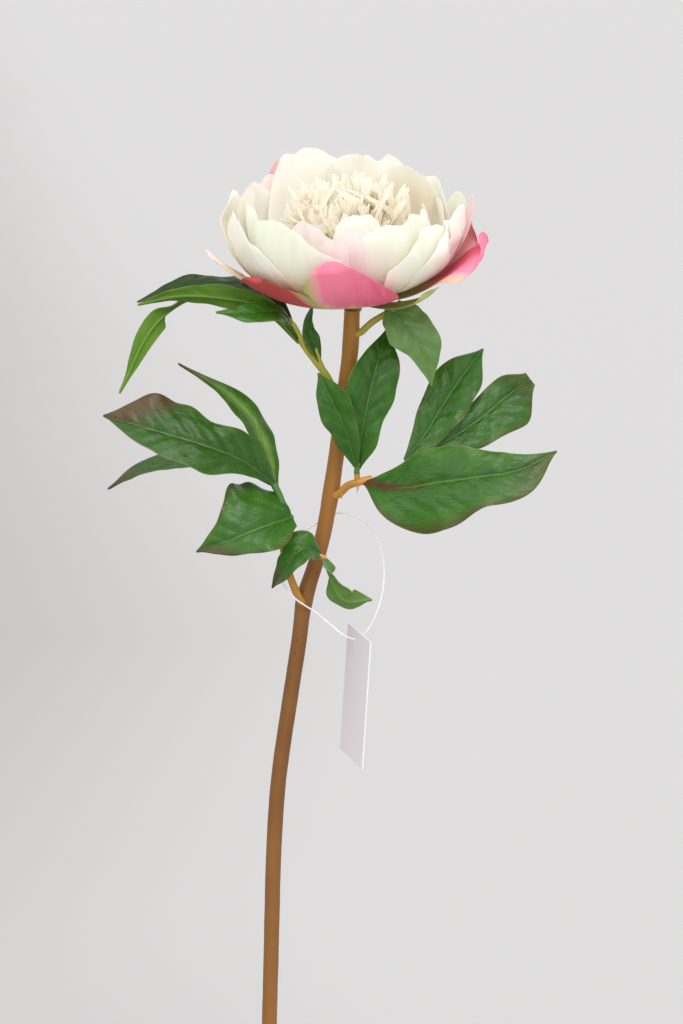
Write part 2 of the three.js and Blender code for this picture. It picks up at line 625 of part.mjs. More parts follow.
place("vase", vase(), "#e8e4da", 0.3);
place("water", water(), "#dfeaf0", 0.1);
place("stem", stemBar(STEM.radius), "#8b5f34", 0.6);
place("calyx", calyx(), "#9fa24a", 0.7);
place("guard_petals", guardPetals(), "#f06f93", 0.7);
place("ivory_petals", ivoryPetals(), "#f2eddd", 0.7);
place("petaloid_tuft", petaloids(), "#efe3bd", 0.7);
place("leaf_upper_left", leaf(UPPER_LEFT), "#3c6628", 0.5);
place("leaf_bract", leaf(BRACT), "#536e37", 0.5);
place("leaf_middle_right", leaf(MIDDLE_RIGHT), "#3c6428", 0.5);
place("leaf_lower_left", leaf(LOWER_LEFT), "#3c6428", 0.5);
place("tag", tag(), "#d3cacb", 0.6);
place("tag_loop", tagLoop(), "#e6e6ea", 0.3);

export default part;
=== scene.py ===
# %% [markdown]
# Peony in a bud vase
#
# A double peony of the kind made for shop windows: cloth petals and coated cloth leaves on a
# long wired stem, with a bare card tag on a clear line. The stem stands in a glazed bud vase.
# The construction is fixed already, so each piece here is made around the solid that carries it.
# Sizes are written in millimetres, and MM turns them to metres.

# %% The frame
import math

import bpy
import numpy as np
from mathutils import Matrix, Vector


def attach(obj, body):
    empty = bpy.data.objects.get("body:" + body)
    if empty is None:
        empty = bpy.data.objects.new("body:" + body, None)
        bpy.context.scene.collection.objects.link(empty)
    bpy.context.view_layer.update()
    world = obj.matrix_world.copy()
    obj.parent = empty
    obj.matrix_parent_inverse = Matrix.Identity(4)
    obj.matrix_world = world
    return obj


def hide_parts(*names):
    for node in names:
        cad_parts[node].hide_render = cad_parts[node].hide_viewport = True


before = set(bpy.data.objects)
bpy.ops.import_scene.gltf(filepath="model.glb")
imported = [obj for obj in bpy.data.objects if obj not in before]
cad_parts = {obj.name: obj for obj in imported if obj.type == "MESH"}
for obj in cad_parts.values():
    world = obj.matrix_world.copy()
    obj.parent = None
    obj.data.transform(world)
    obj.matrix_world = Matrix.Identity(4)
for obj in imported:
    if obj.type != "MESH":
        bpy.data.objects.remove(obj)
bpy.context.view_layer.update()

MM = 0.001
BODY = "root"

# %% [markdown]
# The camera comes first, because everything after it is judged through it. The photograph was
# taken a little above the bloom with a long lens, so the lines of the stem hardly converge. The
# view is aimed at one point of the stem, and the lens gives the photograph's scale there.

# %% Camera
IMAGE = (683, 1024)
VIEW = {"aim": (40, 0, 432), "distance": 1700, "elevation": 12, "lens": 130}

camera_data = bpy.data.cameras.new("camera")
camera_data.lens = VIEW["lens"]
camera = bpy.data.objects.new("camera", camera_data)
tilt = math.radians(VIEW["elevation"])
back = Vector((0, -math.cos(tilt), math.sin(tilt)))
camera.location = (Vector(VIEW["aim"]) + back * VIEW["distance"]) * MM
camera.rotation_euler = (math.pi / 2 - tilt, 0, 0)
bpy.context.scene.collection.objects.link(camera)
bpy.context.scene.camera = camera
pixel = VIEW["distance"] * camera_data.sensor_width / VIEW["lens"] / IMAGE[1]
print("one pixel at the stem, mm:", round(pixel, 3))

# %% [markdown]
# Every surface here is drawn by shader nodes, so one small function adds a node with its
# settings and what feeds it. The nodes that are used often have a short word, and a table says
# what each word stands for: the node's type, its settings, the inputs that its values go to and
# the output that is used. Any other node is named by its own type. Inputs are given in their
# order, or in a dict where only some of them are set.

# %% Words for nodes
SUMS = {
    "times": "MULTIPLY", "plus": "ADD", "minus": "SUBTRACT", "over": "DIVIDE", "times plus": "MULTIPLY_ADD",
    "size of": "ABSOLUTE", "lesser": "MINIMUM", "greater": "MAXIMUM", "above": "GREATER_THAN",
    "below": "LESS_THAN", "remainder": "MODULO", "to and fro": "PINGPONG", "root": "SQRT",
    "angle": "ARCTAN2", "sine": "SINE", "cosine": "COSINE",
}
KINDS = {
    "noise": {"type": "ShaderNodeTexNoise"},
    "bump": {"type": "ShaderNodeBump"},
    "ramp": {"type": "ShaderNodeValToRGB"},
    "range": {"type": "ShaderNodeMapRange"},
    "soft range": {"type": "ShaderNodeMapRange", "interpolation_type": "SMOOTHSTEP"},
    "mix": {"type": "ShaderNodeMix", "data_type": "RGBA", "inputs": (0, 6, 7), "out": 2},
    "place": {"type": "ShaderNodeTexCoord", "out": "Object"},
    "flat": {"type": "ShaderNodeUVMap", "uv_map": "flat"},
    "axes": {"type": "ShaderNodeSeparateXYZ"},
    "stored": {"type": "ShaderNodeAttribute", "out": "Fac"},
    "shader": {"type": "ShaderNodeBsdfPrincipled"},
    "surface": {"type": "ShaderNodeOutputMaterial"},
    "draw": {"type": "FunctionNodeRandomValue", "data_type": "FLOAT", "inputs": (2, 3, "Seed"), "out": 1},
    "draw whole": {"type": "FunctionNodeRandomValue", "data_type": "INT", "inputs": (4, 5, "Seed"), "out": 2},
}
KINDS.update({word: {"type": "ShaderNodeMath", "operation": what} for word, what in SUMS.items()})
print("words for nodes:", len(KINDS))

# %% [markdown]
# Colours are noted as they look on a screen and turned to the linear values that the renderer
# adds up, by the curve that every screen uses. A pattern's scale is worked out from the real size
# of its marks, in millimetres.

# %% Colours and nodes
def linear(colour):
    """A screen colour such as "#f2eddd" as linear red, green, blue and alpha."""
    parts = [int(colour[i:i + 2], 16) / 255 for i in (1, 3, 5)]
    return [c / 12.92 if c <= 0.04045 else ((c + 0.055) / 1.055) ** 2.4 for c in parts] + [1]


def add(tree, kind, *values, stops=(), **settings):
    """Adds a node and returns one of its outputs. An input is a number, a colour or an output."""
    settings = {"type": kind, "inputs": range(5), "out": 0, **KINDS.get(kind, {}), **settings}
    made = tree.nodes.new(settings.pop("type"))
    order, out = settings.pop("inputs"), settings.pop("out")
    for name, value in settings.items():
        setattr(made, name, value)
    given = values[0] if values and isinstance(values[0], dict) else dict(zip(order, values))
    for name, value in given.items():
        if isinstance(value, bpy.types.NodeSocket):
            tree.links.new(value, made.inputs[name])
        elif isinstance(value, str) and value.startswith("#"):
            made.inputs[name].default_value = linear(value)
        else:
            made.inputs[name].default_value = value
    for i, (place, colour) in enumerate(stops):
        slots = made.color_ramp.elements
        slot = slots[i] if i < 2 else slots.new(place)
        slot.position = place
        slot.color = linear(colour)
    return made.outputs[out] if made.outputs else None


def marks(size):
    """The scale of a pattern whose marks are so many millimetres wide: how many fill a metre."""
    return 1 / (size * MM)


def start_material(name):
    """A new material under its own name, and its empty tree."""
    made = bpy.data.materials.new(name)
    made.use_nodes = True
    made.node_tree.nodes.clear()
    return made, made.node_tree


print("a screen's middle grey, linear:", round(linear("#808080")[0], 3))

# %% [markdown]
# The tag hangs on a thin clear line, the kind that garment tags have. It is one length of nylon
# monofilament, knotted behind the tag's hole, and it passes round the stem and over the lowest
# leaf's stalk. Such a line is a real curve with a round section: its route is given and smoothed,
# and its length is printed.

# %% The line's route
LOOP_RADIUS = 0.4
LOOP_LINE = [
    (47.4, -5, 372.9), (44, -5.4, 373.6), (40, -6.4, 376), (34.5, -5.6, 380.5), (28.5, -4.9, 385.5),
    (23, -6.4, 389.5), (18.2, -8.4, 393.6), (13.6, -7, 399), (11.6, -2, 404.5), (13, 3, 411),
    (18, 6, 417.5), (25, 6.4, 423), (32.6, 4.9, 428), (39, 4.6, 430.5), (46, 3, 429.5),
    (52.5, 0.5, 425.5), (57, -2, 418.5), (59.3, -4, 409), (59.2, -6, 398), (56.5, -7, 387),
    (52.5, -6.2, 378.5), (47.6, -5, 373),
]
LOOP_STEPS = 170


def smooth_line(points, places):
    """Centripetal Catmull-Rom curve through points, read at places from 0 to 1."""
    points = np.array(points, float)
    last = len(points) - 1
    place = np.clip(np.asarray(places, float), 0, 1) * last
    i = np.minimum(place.astype(int), last - 1)
    f = (place - i)[..., None]
    padded = np.vstack([2 * points[0] - points[1], points, 2 * points[-1] - points[-2]])
    p0, p1, p2, p3 = (padded[i + k] for k in range(4))
    legs = (p1 - p0, p2 - p1, p3 - p2)
    d0, d1, d2 = (np.sqrt(np.linalg.norm(leg, axis=-1, keepdims=True)) for leg in legs)
    m1 = ((p1 - p0) / d0 - (p2 - p0) / (d0 + d1) + (p2 - p1) / d1) * d1
    m2 = ((p2 - p1) / d1 - (p3 - p1) / (d1 + d2) + (p3 - p2) / d2) * d1
    return p1 + f * (m1 + f * (3 * (p2 - p1) - 2 * m1 - m2 + f * (2 * (p1 - p2) + m1 + m2)))


def link(name, data):
    made = bpy.data.objects.new(name, data)
    bpy.context.scene.collection.objects.link(made)
    return made


def nylon_line(name, points, radius, closed=False):
    """A curve through the points, in millimetres, with a round section."""
    curve = bpy.data.curves.new(name, "CURVE")
    curve.dimensions = "3D"
    curve.bevel_depth = radius * MM
    curve.bevel_resolution = 3
    curve.use_fill_caps = not closed
    spline = curve.splines.new("POLY")
    spline.points.add(len(points) - 1)
    spline.use_cyclic_u = closed
    for point, place in zip(spline.points, points):
        point.co = (*(place * MM), 1)
    return link(name, curve)


route = smooth_line(LOOP_LINE, np.linspace(0, 1, LOOP_STEPS))
tag_line = nylon_line("tag_line", route, LOOP_RADIUS)
print("line, mm:", round(float(np.linalg.norm(np.diff(route, axis=0), axis=1).sum()), 1))

# %% [markdown]
# The studio is a wide pale floor that runs back until it fades, with four soft lights and the
# white of the room for the rest. Soft light from all round is what keeps the ivory petals bright
# and the shadows between them warm instead of grey. The floor is painted a little darker along a
# band behind the flower and towards the left, as in the photograph: that darkening is painted
# shade. It also drifts slowly from one grey to the other.

# %% Floor
FLOOR = {"radius": 16, "sides": 96, "band": 1.5, "slant": 0.14, "cloud": 0.16, "dark": -0.36, "pale": 0.24}
floor_mesh = bpy.data.meshes.new("studio_floor")
turns = np.linspace(0, 2 * math.pi, FLOOR["sides"] + 1)[:-1]
ring = [(FLOOR["radius"] * math.cos(a), FLOOR["radius"] * math.sin(a), 0) for a in turns]
floor_mesh.from_pydata(ring, [], [range(len(ring))])
floor = link("studio_floor", floor_mesh)

# Wall paint: dead matt, with the faintest cloud, and painted shade that darkens it along the band and towards
# the left
floor_paint_and_shade, tree = start_material("matt wall paint")
place = add(tree, "place")
cloud = add(tree, "noise", {"Vector": place, "Scale": marks(2857), "Detail": 1})
behind = add(tree, "minus", add(tree, "axes", place, out="Y"), FLOOR["band"])
from_band = add(tree, "size of", behind)
# Painted shade: darker near the band behind the flower and towards the left
painted_shade_slant = add(tree, "times plus", from_band, FLOOR["slant"], add(tree, "axes", place))
drift = add(tree, "times plus", cloud, FLOOR["cloud"], painted_shade_slant)
evened = add(tree, "soft range", drift, FLOOR["dark"], FLOOR["pale"])
paint = add(tree, "ramp", evened, stops=[(0, "#989695"), (1, "#b0afaf")])
add(tree, "surface", add(tree, "shader", {"Base Color": paint, "Roughness": 0.9}))
floor_mesh.materials.append(floor_paint_and_shade)
print("floor, m across:", 2 * FLOOR["radius"])

# %% Lights
world = bpy.data.worlds.new("white room")
world.use_nodes = True
world.node_tree.nodes["Background"].inputs["Color"].default_value = linear("#f4f5f7")
world.node_tree.nodes["Background"].inputs["Strength"].default_value = 1
bpy.context.scene.world = world
bpy.context.scene.view_settings.view_transform = "Standard"


def window_light(name, place, strength, spread, colour):
    """Soft daylight from the side of the given place, the same all over the floor."""
    data = bpy.data.lights.new(name, "SUN")
    data.energy = strength
    data.angle = math.radians(spread)
    data.color = linear(colour)[:3]
    lamp = link(name, data)
    lamp.rotation_euler = Vector(place).to_track_quat("Z", "Y").to_euler()


window_light("right window", (1.0, -1.5, 3.0), 1.3, 42, "#fffcf8")
window_light("left window", (-1.3, -1.5, 2.6), 1.0, 50, "#fffdfa")
window_light("front fill", (0.2, -2.2, 0.2), 1.15, 70, "#fdfdff")
window_light("small pane", (0.3, -1.5, 1.5), 0.4, 13, "#ffffff")
print("lights:", len(bpy.data.lights))

# %% [markdown]
# Petals and leaves are thin sheets. A sheet starts as a grid of points on its middle surface.
# The grid is doubled to both sides by half its thickness and closed round its border, where it
# gets thinner, as cut and pressed cloth is. Values such as the place along the petal are stored
# on the points, and the flat size in millimetres becomes the UV map, so that every weave and
# vein keeps its real scale.

# %% Sheets to one closed mesh
BORDER_SHARE = 0.35
RIM_ANGLE = math.radians(60)
FLAT_UNIT = 100


def store(mesh, values):
    """Keeps named numbers on the points of a mesh."""
    for key, value in values.items():
        kept = mesh.attributes.new(key, "FLOAT", "POINT")
        kept.data.foreach_set("value", np.asarray(value, np.float32))


def sheet_sides(sheet):
    """The points of both sides of a sheet, one side after the other."""
    grid = sheet["grid"]
    normal = np.cross(np.gradient(grid, axis=1), np.gradient(grid, axis=0))
    normal /= np.maximum(np.linalg.norm(normal, axis=-1, keepdims=True), 1e-9)
    full = np.broadcast_to(sheet["half"], grid.shape[:2])
    half = full.copy()
    for edge in (np.s_[0], np.s_[-1], np.s_[:, 0], np.s_[:, -1]):
        half[edge] = full[edge] * BORDER_SHARE
    offset = normal * half[..., None]
    return [(grid + offset).reshape(-1, 3), (grid - offset).reshape(-1, 3)]


def sheet_mesh(name, sheets):
    """One mesh from sheets: each has a grid, its half thickness, a flat map and stored values."""
    points, faces, flat, sides, stored = [], [], [], [], {}
    start = 0
    for sheet in sheets:
        rows, columns = sheet["grid"].shape[:2]
        count = rows * columns
        at = np.arange(count).reshape(rows, columns) + start
        top = np.stack([at[:-1, :-1], at[:-1, 1:], at[1:, 1:], at[1:, :-1]], -1).reshape(-1, 4)
        border = np.concatenate([at[0, :-1], at[:-1, -1], at[-1, :0:-1], at[:0:-1, 0]])
        after = np.roll(border, -1)
        rim = np.stack([border, border + count, after + count, after], -1)
        points += sheet_sides(sheet)
        faces += [top, top[:, ::-1] + count, rim]
        sides += [np.zeros(len(top), int), np.ones(len(top), int), np.zeros(len(rim), int)]
        flat += [sheet["flat"].reshape(-1, 2)] * 2
        for key, value in sheet["values"].items():
            spread = np.broadcast_to(value, (rows, columns)).reshape(-1)
            stored.setdefault(key, []).extend([spread, spread])
        stored.setdefault("inside", []).extend([np.zeros(count), np.ones(count)])
        start += 2 * count
    mesh = bpy.data.meshes.new(name)
    faces = np.vstack(faces)
    mesh.from_pydata((np.vstack(points) * MM).tolist(), [], faces.tolist())
    store(mesh, {key: np.concatenate(value) for key, value in stored.items()})
    uv = np.vstack(flat)[faces.reshape(-1)] / FLAT_UNIT
    mesh.uv_layers.new(name="flat").data.foreach_set("uv", uv.astype(np.float32).ravel())
    mesh.polygons.foreach_set("material_index", np.concatenate(sides).astype(np.int32))
    mesh.shade_smooth()
    mesh.set_sharp_from_angle(angle=RIM_ANGLE)
    return mesh


def dress(mesh, materials, node):
    """Links a finished mesh, under its own name, as a piece that stands for a solid."""
    sides = np.empty(len(mesh.polygons), np.int32)
    mesh.polygons.foreach_get("material_index", sides)
    mesh.materials.clear()
    for made in materials:
        mesh.materials.append(made)
    mesh.polygons.foreach_set("material_index", sides)
    piece = link(mesh.name, mesh)
    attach(piece, BODY)
    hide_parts(node)
    print(mesh.name, len(mesh.polygons), "faces")


# %% [markdown]
# The bloom. A double peony has a calyx, a ring of guard petals, several rings of ivory petals and
# a heart of narrow petaloids. They are all cut flat and pressed, so one formula shapes them all:
# the middle line leaves the axis almost level and turns up to the rim, the section cups round
# the axis, and the rim is rounded, notched and waved. Two bowl surfaces keep the rings apart,
# so that no ring of petals cuts through another.

# %% Bowls that part the rings
BLOOM = {"base": (45, -3, 535), "tilt": 13, "lean": 5}
OUTER_BOWL = {"left": 57.5, "right": 60, "front": 48, "back": 51, "depth": 48, "bottom": 0}
INNER_BOWL = {"left": 31, "right": 31, "front": 28, "back": 30, "depth": 43, "bottom": 9}
BOWL_POWER = 2.5

bloom_place = (
    Matrix.Translation(BLOOM["base"])
    @ Matrix.Rotation(math.radians(BLOOM["tilt"]), 4, "X")
    @ Matrix.Rotation(-math.radians(BLOOM["lean"]), 4, "Y")
)


def bowl_share(p, bowl):
    """Where points lie between a bowl's centre, 0, and its wall, 1."""
    x, y, z = p[..., 0], p[..., 1], p[..., 2]
    radius = np.hypot(x, y) + 1e-6
    lengthwise = np.where(y < 0, bowl["front"], bowl["back"])
    sideways = np.where(x < 0, bowl["left"], bowl["right"])
    reach = lengthwise + (sideways - lengthwise) * (x / radius) ** 2
    below = np.maximum(bowl["bottom"] + bowl["depth"] - z, 0) / bowl["depth"]
    return ((radius / reach) ** BOWL_POWER + below ** BOWL_POWER) ** (1 / BOWL_POWER)


def between(p, bowl, least, most):
    """Points moved along the line to the bowl's centre until their share of it is in range."""
    share = bowl_share(p, bowl)
    k = np.clip(share, least, most) / share
    centre = bowl["bottom"] + bowl["depth"]
    z = np.where(p[..., 2] < centre, centre + (p[..., 2] - centre) * k, p[..., 2])
    return np.stack([p[..., 0] * k, p[..., 1] * k, z], -1)


def in_bloom(p):
    """Points of the upright bloom, moved to where it sits on the stem and tilted."""
    turn = np.array(bloom_place.to_3x3())
    return p @ turn.T + np.array(bloom_place.translation)


mouth = in_bloom(np.array([0, 0, INNER_BOWL["bottom"] + INNER_BOWL["depth"]]))
print("middle of the inner bowl's mouth, mm:", mouth.round(1).tolist())

# %% A petal's row and its rim
PETAL_FORM = {
    "rim_power": 2.6, "notch_width": 0.18, "root_width": 0.28, "widest_at": 0.66, "fullness": 1.05,
    "cup": 0.85, "least_cup": 25.5, "waves": 5.2, "ripple": 1.2, "flutter": 0.3,
}
PLAIN_PETAL = {
    "start": 0.85, "belly": (1.15, 0.42), "round": 0.3, "corner": 0, "slant": 0, "notch": 0, "wave": 0,
    "curl": 0, "cup": None, "flare": 0, "blush": 0, "green": 0, "warm": 0, "brick": 0, "lime": 0,
}
# The rim's frill: the share of the petal's length, the waves over half a width, and their shift
FRILLS = [(0.007, 6, 1), (0.003, 14, 2), (0.002, 25, 5)]
# Pressed creases, mm: fine ones lengthwise, broad ones, and crumples near the rim
CREASES = {"fine": 0.16, "broad": 0.3, "crumple": 0.3}
PETAL_HALF = 0.11
PETAL_ROWS = 42
PETAL_COLUMNS = 34


def petal(az, tip, width, **shape):
    """A petal from the way it faces, the radius and height of its rim, its width and its shape."""
    return {**PLAIN_PETAL, "az": az, "tip": tip, "width": width, **shape}


def petal_reach(row, s, v):
    """How far along its middle line each point lies, which draws the outline of the rim."""
    dent = row["notch"] * np.exp(-((v / PETAL_FORM["notch_width"]) ** 2))
    frill = sum(size * np.sin(count * v + shift * row["az"]) for size, count, shift in FRILLS)
    corner = row["round"] + row["corner"] * np.sign(v)
    rounding = corner * np.abs(v) ** PETAL_FORM["rim_power"]
    return s * (1 - rounding - row["slant"] * v - dent + frill)


def petal_relief(row, s, v, t):
    """Waves, creases and the lip of the rim, in millimetres towards the bloom's axis."""
    az, wave, widest = row["az"], row["wave"], PETAL_FORM["widest_at"]
    ripple = PETAL_FORM["ripple"] * wave * t * t * np.sin(v * PETAL_FORM["waves"] + az)
    ripple += PETAL_FORM["flutter"] * wave * t ** 3 * np.sin(v * 13 + 2 * az)
    crease = CREASES["fine"] * t * np.sin(v * 17 + az + 3 * s) * (1 - v ** 2)
    crease += CREASES["broad"] * t * np.sin(v * 7 + 2 * az)
    crease += CREASES["crumple"] * t ** 3 * np.sin(5 * v + 9 * t + 3 * az) * np.sin(11 * t + az)
    lip = row["curl"] * np.maximum((t - widest) / (1 - widest), 0) ** 2
    return ripple + crease - lip


print("values in a petal's row:", len(petal(0, (50, 40), 40)))

# %% One petal
def petal_sheet(row, root, limit, order):
    """The grid of one petal in the bloom's place, with its flat map and stored values."""
    rows = np.linspace(0, 1, PETAL_ROWS)
    s, v = np.meshgrid(rows, np.linspace(-1, 1, PETAL_COLUMNS), indexing="ij")
    tip = row["tip"]
    t = petal_reach(row, s, v)
    belly = np.multiply(tip, row["belly"])
    corners = np.array([root, (tip[0] * row["start"], root[1]), belly, tip], float)
    on = np.stack([(1 - t) ** 3, 3 * t * (1 - t) ** 2, 3 * t * t * (1 - t), t ** 3], -1) @ corners
    edge = np.minimum(t, 1)[..., None]
    legs = np.diff(corners, axis=0)
    ahead = (1 - edge) ** 2 * legs[0] + 2 * edge * (1 - edge) * legs[1] + edge ** 2 * legs[2]
    ahead /= np.linalg.norm(ahead, axis=-1, keepdims=True)
    rising = np.minimum(t / PETAL_FORM["widest_at"], 1) * math.pi / 2
    growth = np.sin(rising) ** PETAL_FORM["fullness"]
    root_width = PETAL_FORM["root_width"]
    half = row["width"] / 2 * (root_width + (1 - root_width) * growth)
    cup = row["cup"] or max(tip[0] * PETAL_FORM["cup"], PETAL_FORM["least_cup"])
    turn = v * half / cup
    inward = cup * (1 - np.cos(turn)) + petal_relief(row, s, v, t)
    radius = on[..., 0] - ahead[..., 1] * inward
    height = on[..., 1] + ahead[..., 0] * inward
    sideways = cup * np.sin(turn)
    a = math.radians(row["az"])
    x = radius * math.cos(a) - sideways * math.sin(a)
    y = radius * math.sin(a) + sideways * math.cos(a)
    values = {key: row[key] for key in ("blush", "green", "warm", "brick")}
    return {
        "grid": in_bloom(limit(np.stack([x, y, height], -1), s, order)),
        "half": PETAL_HALF,
        # Each petal is cut from another place of the cloth, so no two have the same streaks
        "flat": np.stack([v * half, s * (tip[0] + tip[1])], -1) + np.array([order * 97.0, order * 53.0]),
        "values": {
            **values, "rise": s, "across": v, "tone": (order * 0.618) % 1,
            "lime": np.clip((v * row["lime"] - 0.66) / 0.34, 0, 1) ** 0.7,
        },
    }


print("points on one side of a petal:", PETAL_ROWS * PETAL_COLUMNS)

# %% [markdown]
# The ivory petals stand in rings. Each row below is one petal: the way it faces, the radius and
# height of its rim, its width, and how its rim is shaped. The first eleven are the outer ring,
# the rest the inner ones. Blush and green say how much pink or green dye its outside took. The
# second table holds smaller petals that close the gaps between the large ones.

# %% Ivory petals
IVORY_ROOT = (5, 2.5)
IVORY_SHARE = {"most": 0.983, "least": 1.027, "step": 0.012}
# Warm is a painted warm glow on a petal: the light that shines through it, strongest at its foot.
IVORY_PETALS = [
    petal(171, (52, 49), 54, round=0.2, belly=(1.36, 0.4), wave=1.6, curl=-1, warm=0.7),
    petal(204, (52, 50), 34, round=0.45, wave=1.2, curl=1),
    petal(227, (45, 48), 64, round=0.2, slant=0.04, wave=1.2, green=0.6),
    petal(307, (40, 45), 58, round=0.24, notch=0.03, wave=1.4, curl=0.5, green=0.3),
    petal(333, (49, 36), 38, slant=-0.08, wave=1, curl=0.5),
    petal(1, (62, 38), 36, wave=1.2, curl=2.5, blush=0.9),
    petal(20, (59, 34), 30, round=0.36, wave=1.2, curl=3, green=1.2),
    petal(44, (50, 36), 42, round=0.26, wave=1.4, curl=1),
    petal(72, (51, 48), 42, round=0.28, notch=0.06, wave=1.4, curl=1.5),
    petal(104, (52, 48), 46, round=0.28, wave=1.4, curl=1.5),
    petal(138, (52, 46), 44, round=0.28, notch=0.05, wave=1.4, curl=1.5, blush=0.5),
    petal(187, (42, 50), 42, round=0.26, slant=0.05, wave=1.2),
    petal(158, (46, 48), 44, round=0.2, wave=1.2, curl=0.5),
    petal(118, (45, 56), 50, round=0.38, corner=0.16, notch=0.03, wave=1.3, curl=0.8),
    petal(84, (44, 49.5), 34, round=0.14, wave=1, curl=0.4, warm=0.2),
    petal(46, (43, 46), 58, corner=-0.08, wave=1.1, curl=0.4, warm=0.6),
    petal(8, (42, 43), 40, notch=0.08, wave=1.4, curl=0.3, warm=0.5),
    petal(275, (38, 43), 32, round=0.26, slant=-0.04, wave=1, blush=0.35),
    petal(248, (36, 46), 36, round=0.28, slant=0.07, wave=1.2, curl=1.5, blush=0.3),
    petal(281, (31, 48), 32, round=0.28, wave=1),
    petal(345, (36, 43), 24, round=0.34, notch=0.08, wave=1),
]
IVORY_FILLERS = [
    petal(322, (46, 38), 46, wave=1.6, curl=1, green=0.3),
    petal(350, (50, 40), 38, round=0.34, wave=1.6, curl=1, blush=0.2),
    petal(336, (53, 30), 34, round=0.34, wave=1.4, curl=2, blush=0.3),
    petal(292, (37, 38), 34, wave=1.4, curl=2, blush=0.4),
    petal(262, (38, 38), 34, wave=1.6, curl=2, blush=0.35),
    petal(212, (50, 38), 34, wave=1, curl=1),
    petal(30, (46, 42), 40, wave=1.4, curl=1),
    petal(62, (46, 40), 44, wave=1.4, curl=1),
    petal(96, (47, 42), 44, wave=1.4, curl=1),
    petal(150, (48, 42), 44, wave=1.4, curl=1),
]


def ivory_limit(p, s, order):
    """Keeps an ivory petal between the two bowls, each a step away from its neighbours."""
    step = IVORY_SHARE["step"] * (order % 4)
    shell = between(p, OUTER_BOWL, 0, IVORY_SHARE["most"] - step)
    return between(shell, INNER_BOWL, IVORY_SHARE["least"] + step, np.inf)


ivory_all = enumerate(IVORY_PETALS + IVORY_FILLERS)
ivory_sheets = [petal_sheet(row, IVORY_ROOT, ivory_limit, i) for i, row in ivory_all]
ivory_mesh = sheet_mesh("ivory_petals_cloth", ivory_sheets)
print("ivory petals:", len(ivory_sheets))

# %% [markdown]
# The guard petals are the outermost ring. The same cloth is dyed strong pink outside and fades to
# yellow-green at the foot. One of them, at the far left, is only a slender strip.

# %% Guard petals
GUARD_ROOT = (5, -1.4)
GUARD_SHARE = {"least": 1.017, "most": 1.045, "step": 0.009}
# Brick turns a petal a darker brick pink, which is partly its dye and partly painted shade.
GUARD_PETALS = [
    petal(273, (49, 29), 50, round=0.42, corner=-0.02, slant=0.3, wave=1, curl=2, flare=0.04, blush=1.2,
          lime=-1),
    petal(222, (52, 22), 42, slant=0.08, wave=1, curl=0.5, flare=0.03, blush=1.4, brick=1, lime=1),
    petal(346, (61, 25), 48, round=0.34, corner=0.08, slant=-0.14, wave=0.3, flare=0.2, blush=1.5,
          lime=-0.9),
    petal(16, (56, 26), 38, wave=1.2, curl=1, flare=0.08, blush=0.7),
    petal(62, (54, 36), 44, wave=1.2, curl=1, flare=0.1, blush=0.9),
    petal(104, (54, 33), 44, wave=1.2, curl=1, flare=0.1, blush=0.5),
    petal(117, (56, 48), 38, wave=1.2, curl=1, flare=0.1, blush=0.4),
    petal(196, (66, 31), 16, round=0.4, start=0.55, belly=(0.82, 0.6), wave=0.2, curl=-1, flare=0.5,
          blush=0.12),
]


def guard_sheet(order, row):
    """A guard petal lies outside the outer bowl, and its rim may stand off by its flare."""
    def limit(p, s, k):
        least = GUARD_SHARE["least"] + GUARD_SHARE["step"] * (k % 3)
        return between(p, OUTER_BOWL, least, GUARD_SHARE["most"] + row["flare"] * s ** 5)
    return petal_sheet(row, GUARD_ROOT, limit, order)


guard_mesh = sheet_mesh("guard_petals_cloth", [guard_sheet(i, row) for i, row in enumerate(GUARD_PETALS)])
print("guard petals:", len(GUARD_PETALS))

# %% [markdown]
# The calyx is a small cup with four narrow green sepals that hug the guard petals. The cup is
# turned, and the sepals are petals with pointed rims, so they reuse the petal's formula.

# %% Calyx and the hidden cores
BLOOM_SIDES = 48
CALYX_CUP = [(0, -9.5), (3.3, -9.5), (3.8, -7.4), (4.4, -6.6), (6.2, -5.4), (10, -3), (7, -2.8), (0, -3)]
IVORY_HEART = [(0, 0), (9, 1), (14, 3), (13, 6), (9, 8), (0, 8.2)]
GUARD_HEART = [(0, -2.6), (9, -2.3), (13, -0.6), (12, 0.4), (0, -0.4)]
SEPAL_ROOT = (6, -5)
SEPAL_SHARE = {"least": 1.085, "most": 1.12, "step": 0.006}
SEPALS = [
    petal(324, (42, 12), 17, round=0.6),
    petal(155, (38, 11), 18, round=0.6),
    petal(95, (40, 12), 20, round=0.6),
    petal(35, (38, 12), 20, round=0.6),
]


def sepal_limit(p, s, order):
    """Keeps a sepal just outside the guard petals."""
    least = SEPAL_SHARE["least"] + SEPAL_SHARE["step"] * (order % 3)
    return between(p, OUTER_BOWL, least, SEPAL_SHARE["most"])


def turned(name, profile, sides, move=np.array):
    """A closed body from a profile of radius and height, which starts and ends on the axis."""
    turn = np.linspace(0, 2 * math.pi, sides + 1)[:-1]
    inner = profile[1:-1]
    points = [(0, 0, profile[0][1])]
    for r, h in inner:
        points += [(r * math.cos(a), r * math.sin(a), h) for a in turn]
    points.append((0, 0, profile[-1][1]))
    last = len(points) - 1
    faces = []
    for j in range(sides):
        k = (j + 1) % sides
        faces.append((0, 1 + k, 1 + j))
        for i in range(len(inner) - 1):
            a = 1 + i * sides
            faces.append((a + j, a + k, a + sides + k, a + sides + j))
        a = 1 + (len(inner) - 1) * sides
        faces.append((a + j, a + k, last))
    mesh = bpy.data.meshes.new(name)
    mesh.from_pydata((move(np.array(points, float)) * MM).tolist(), [], faces)
    mesh.shade_smooth()
    return mesh


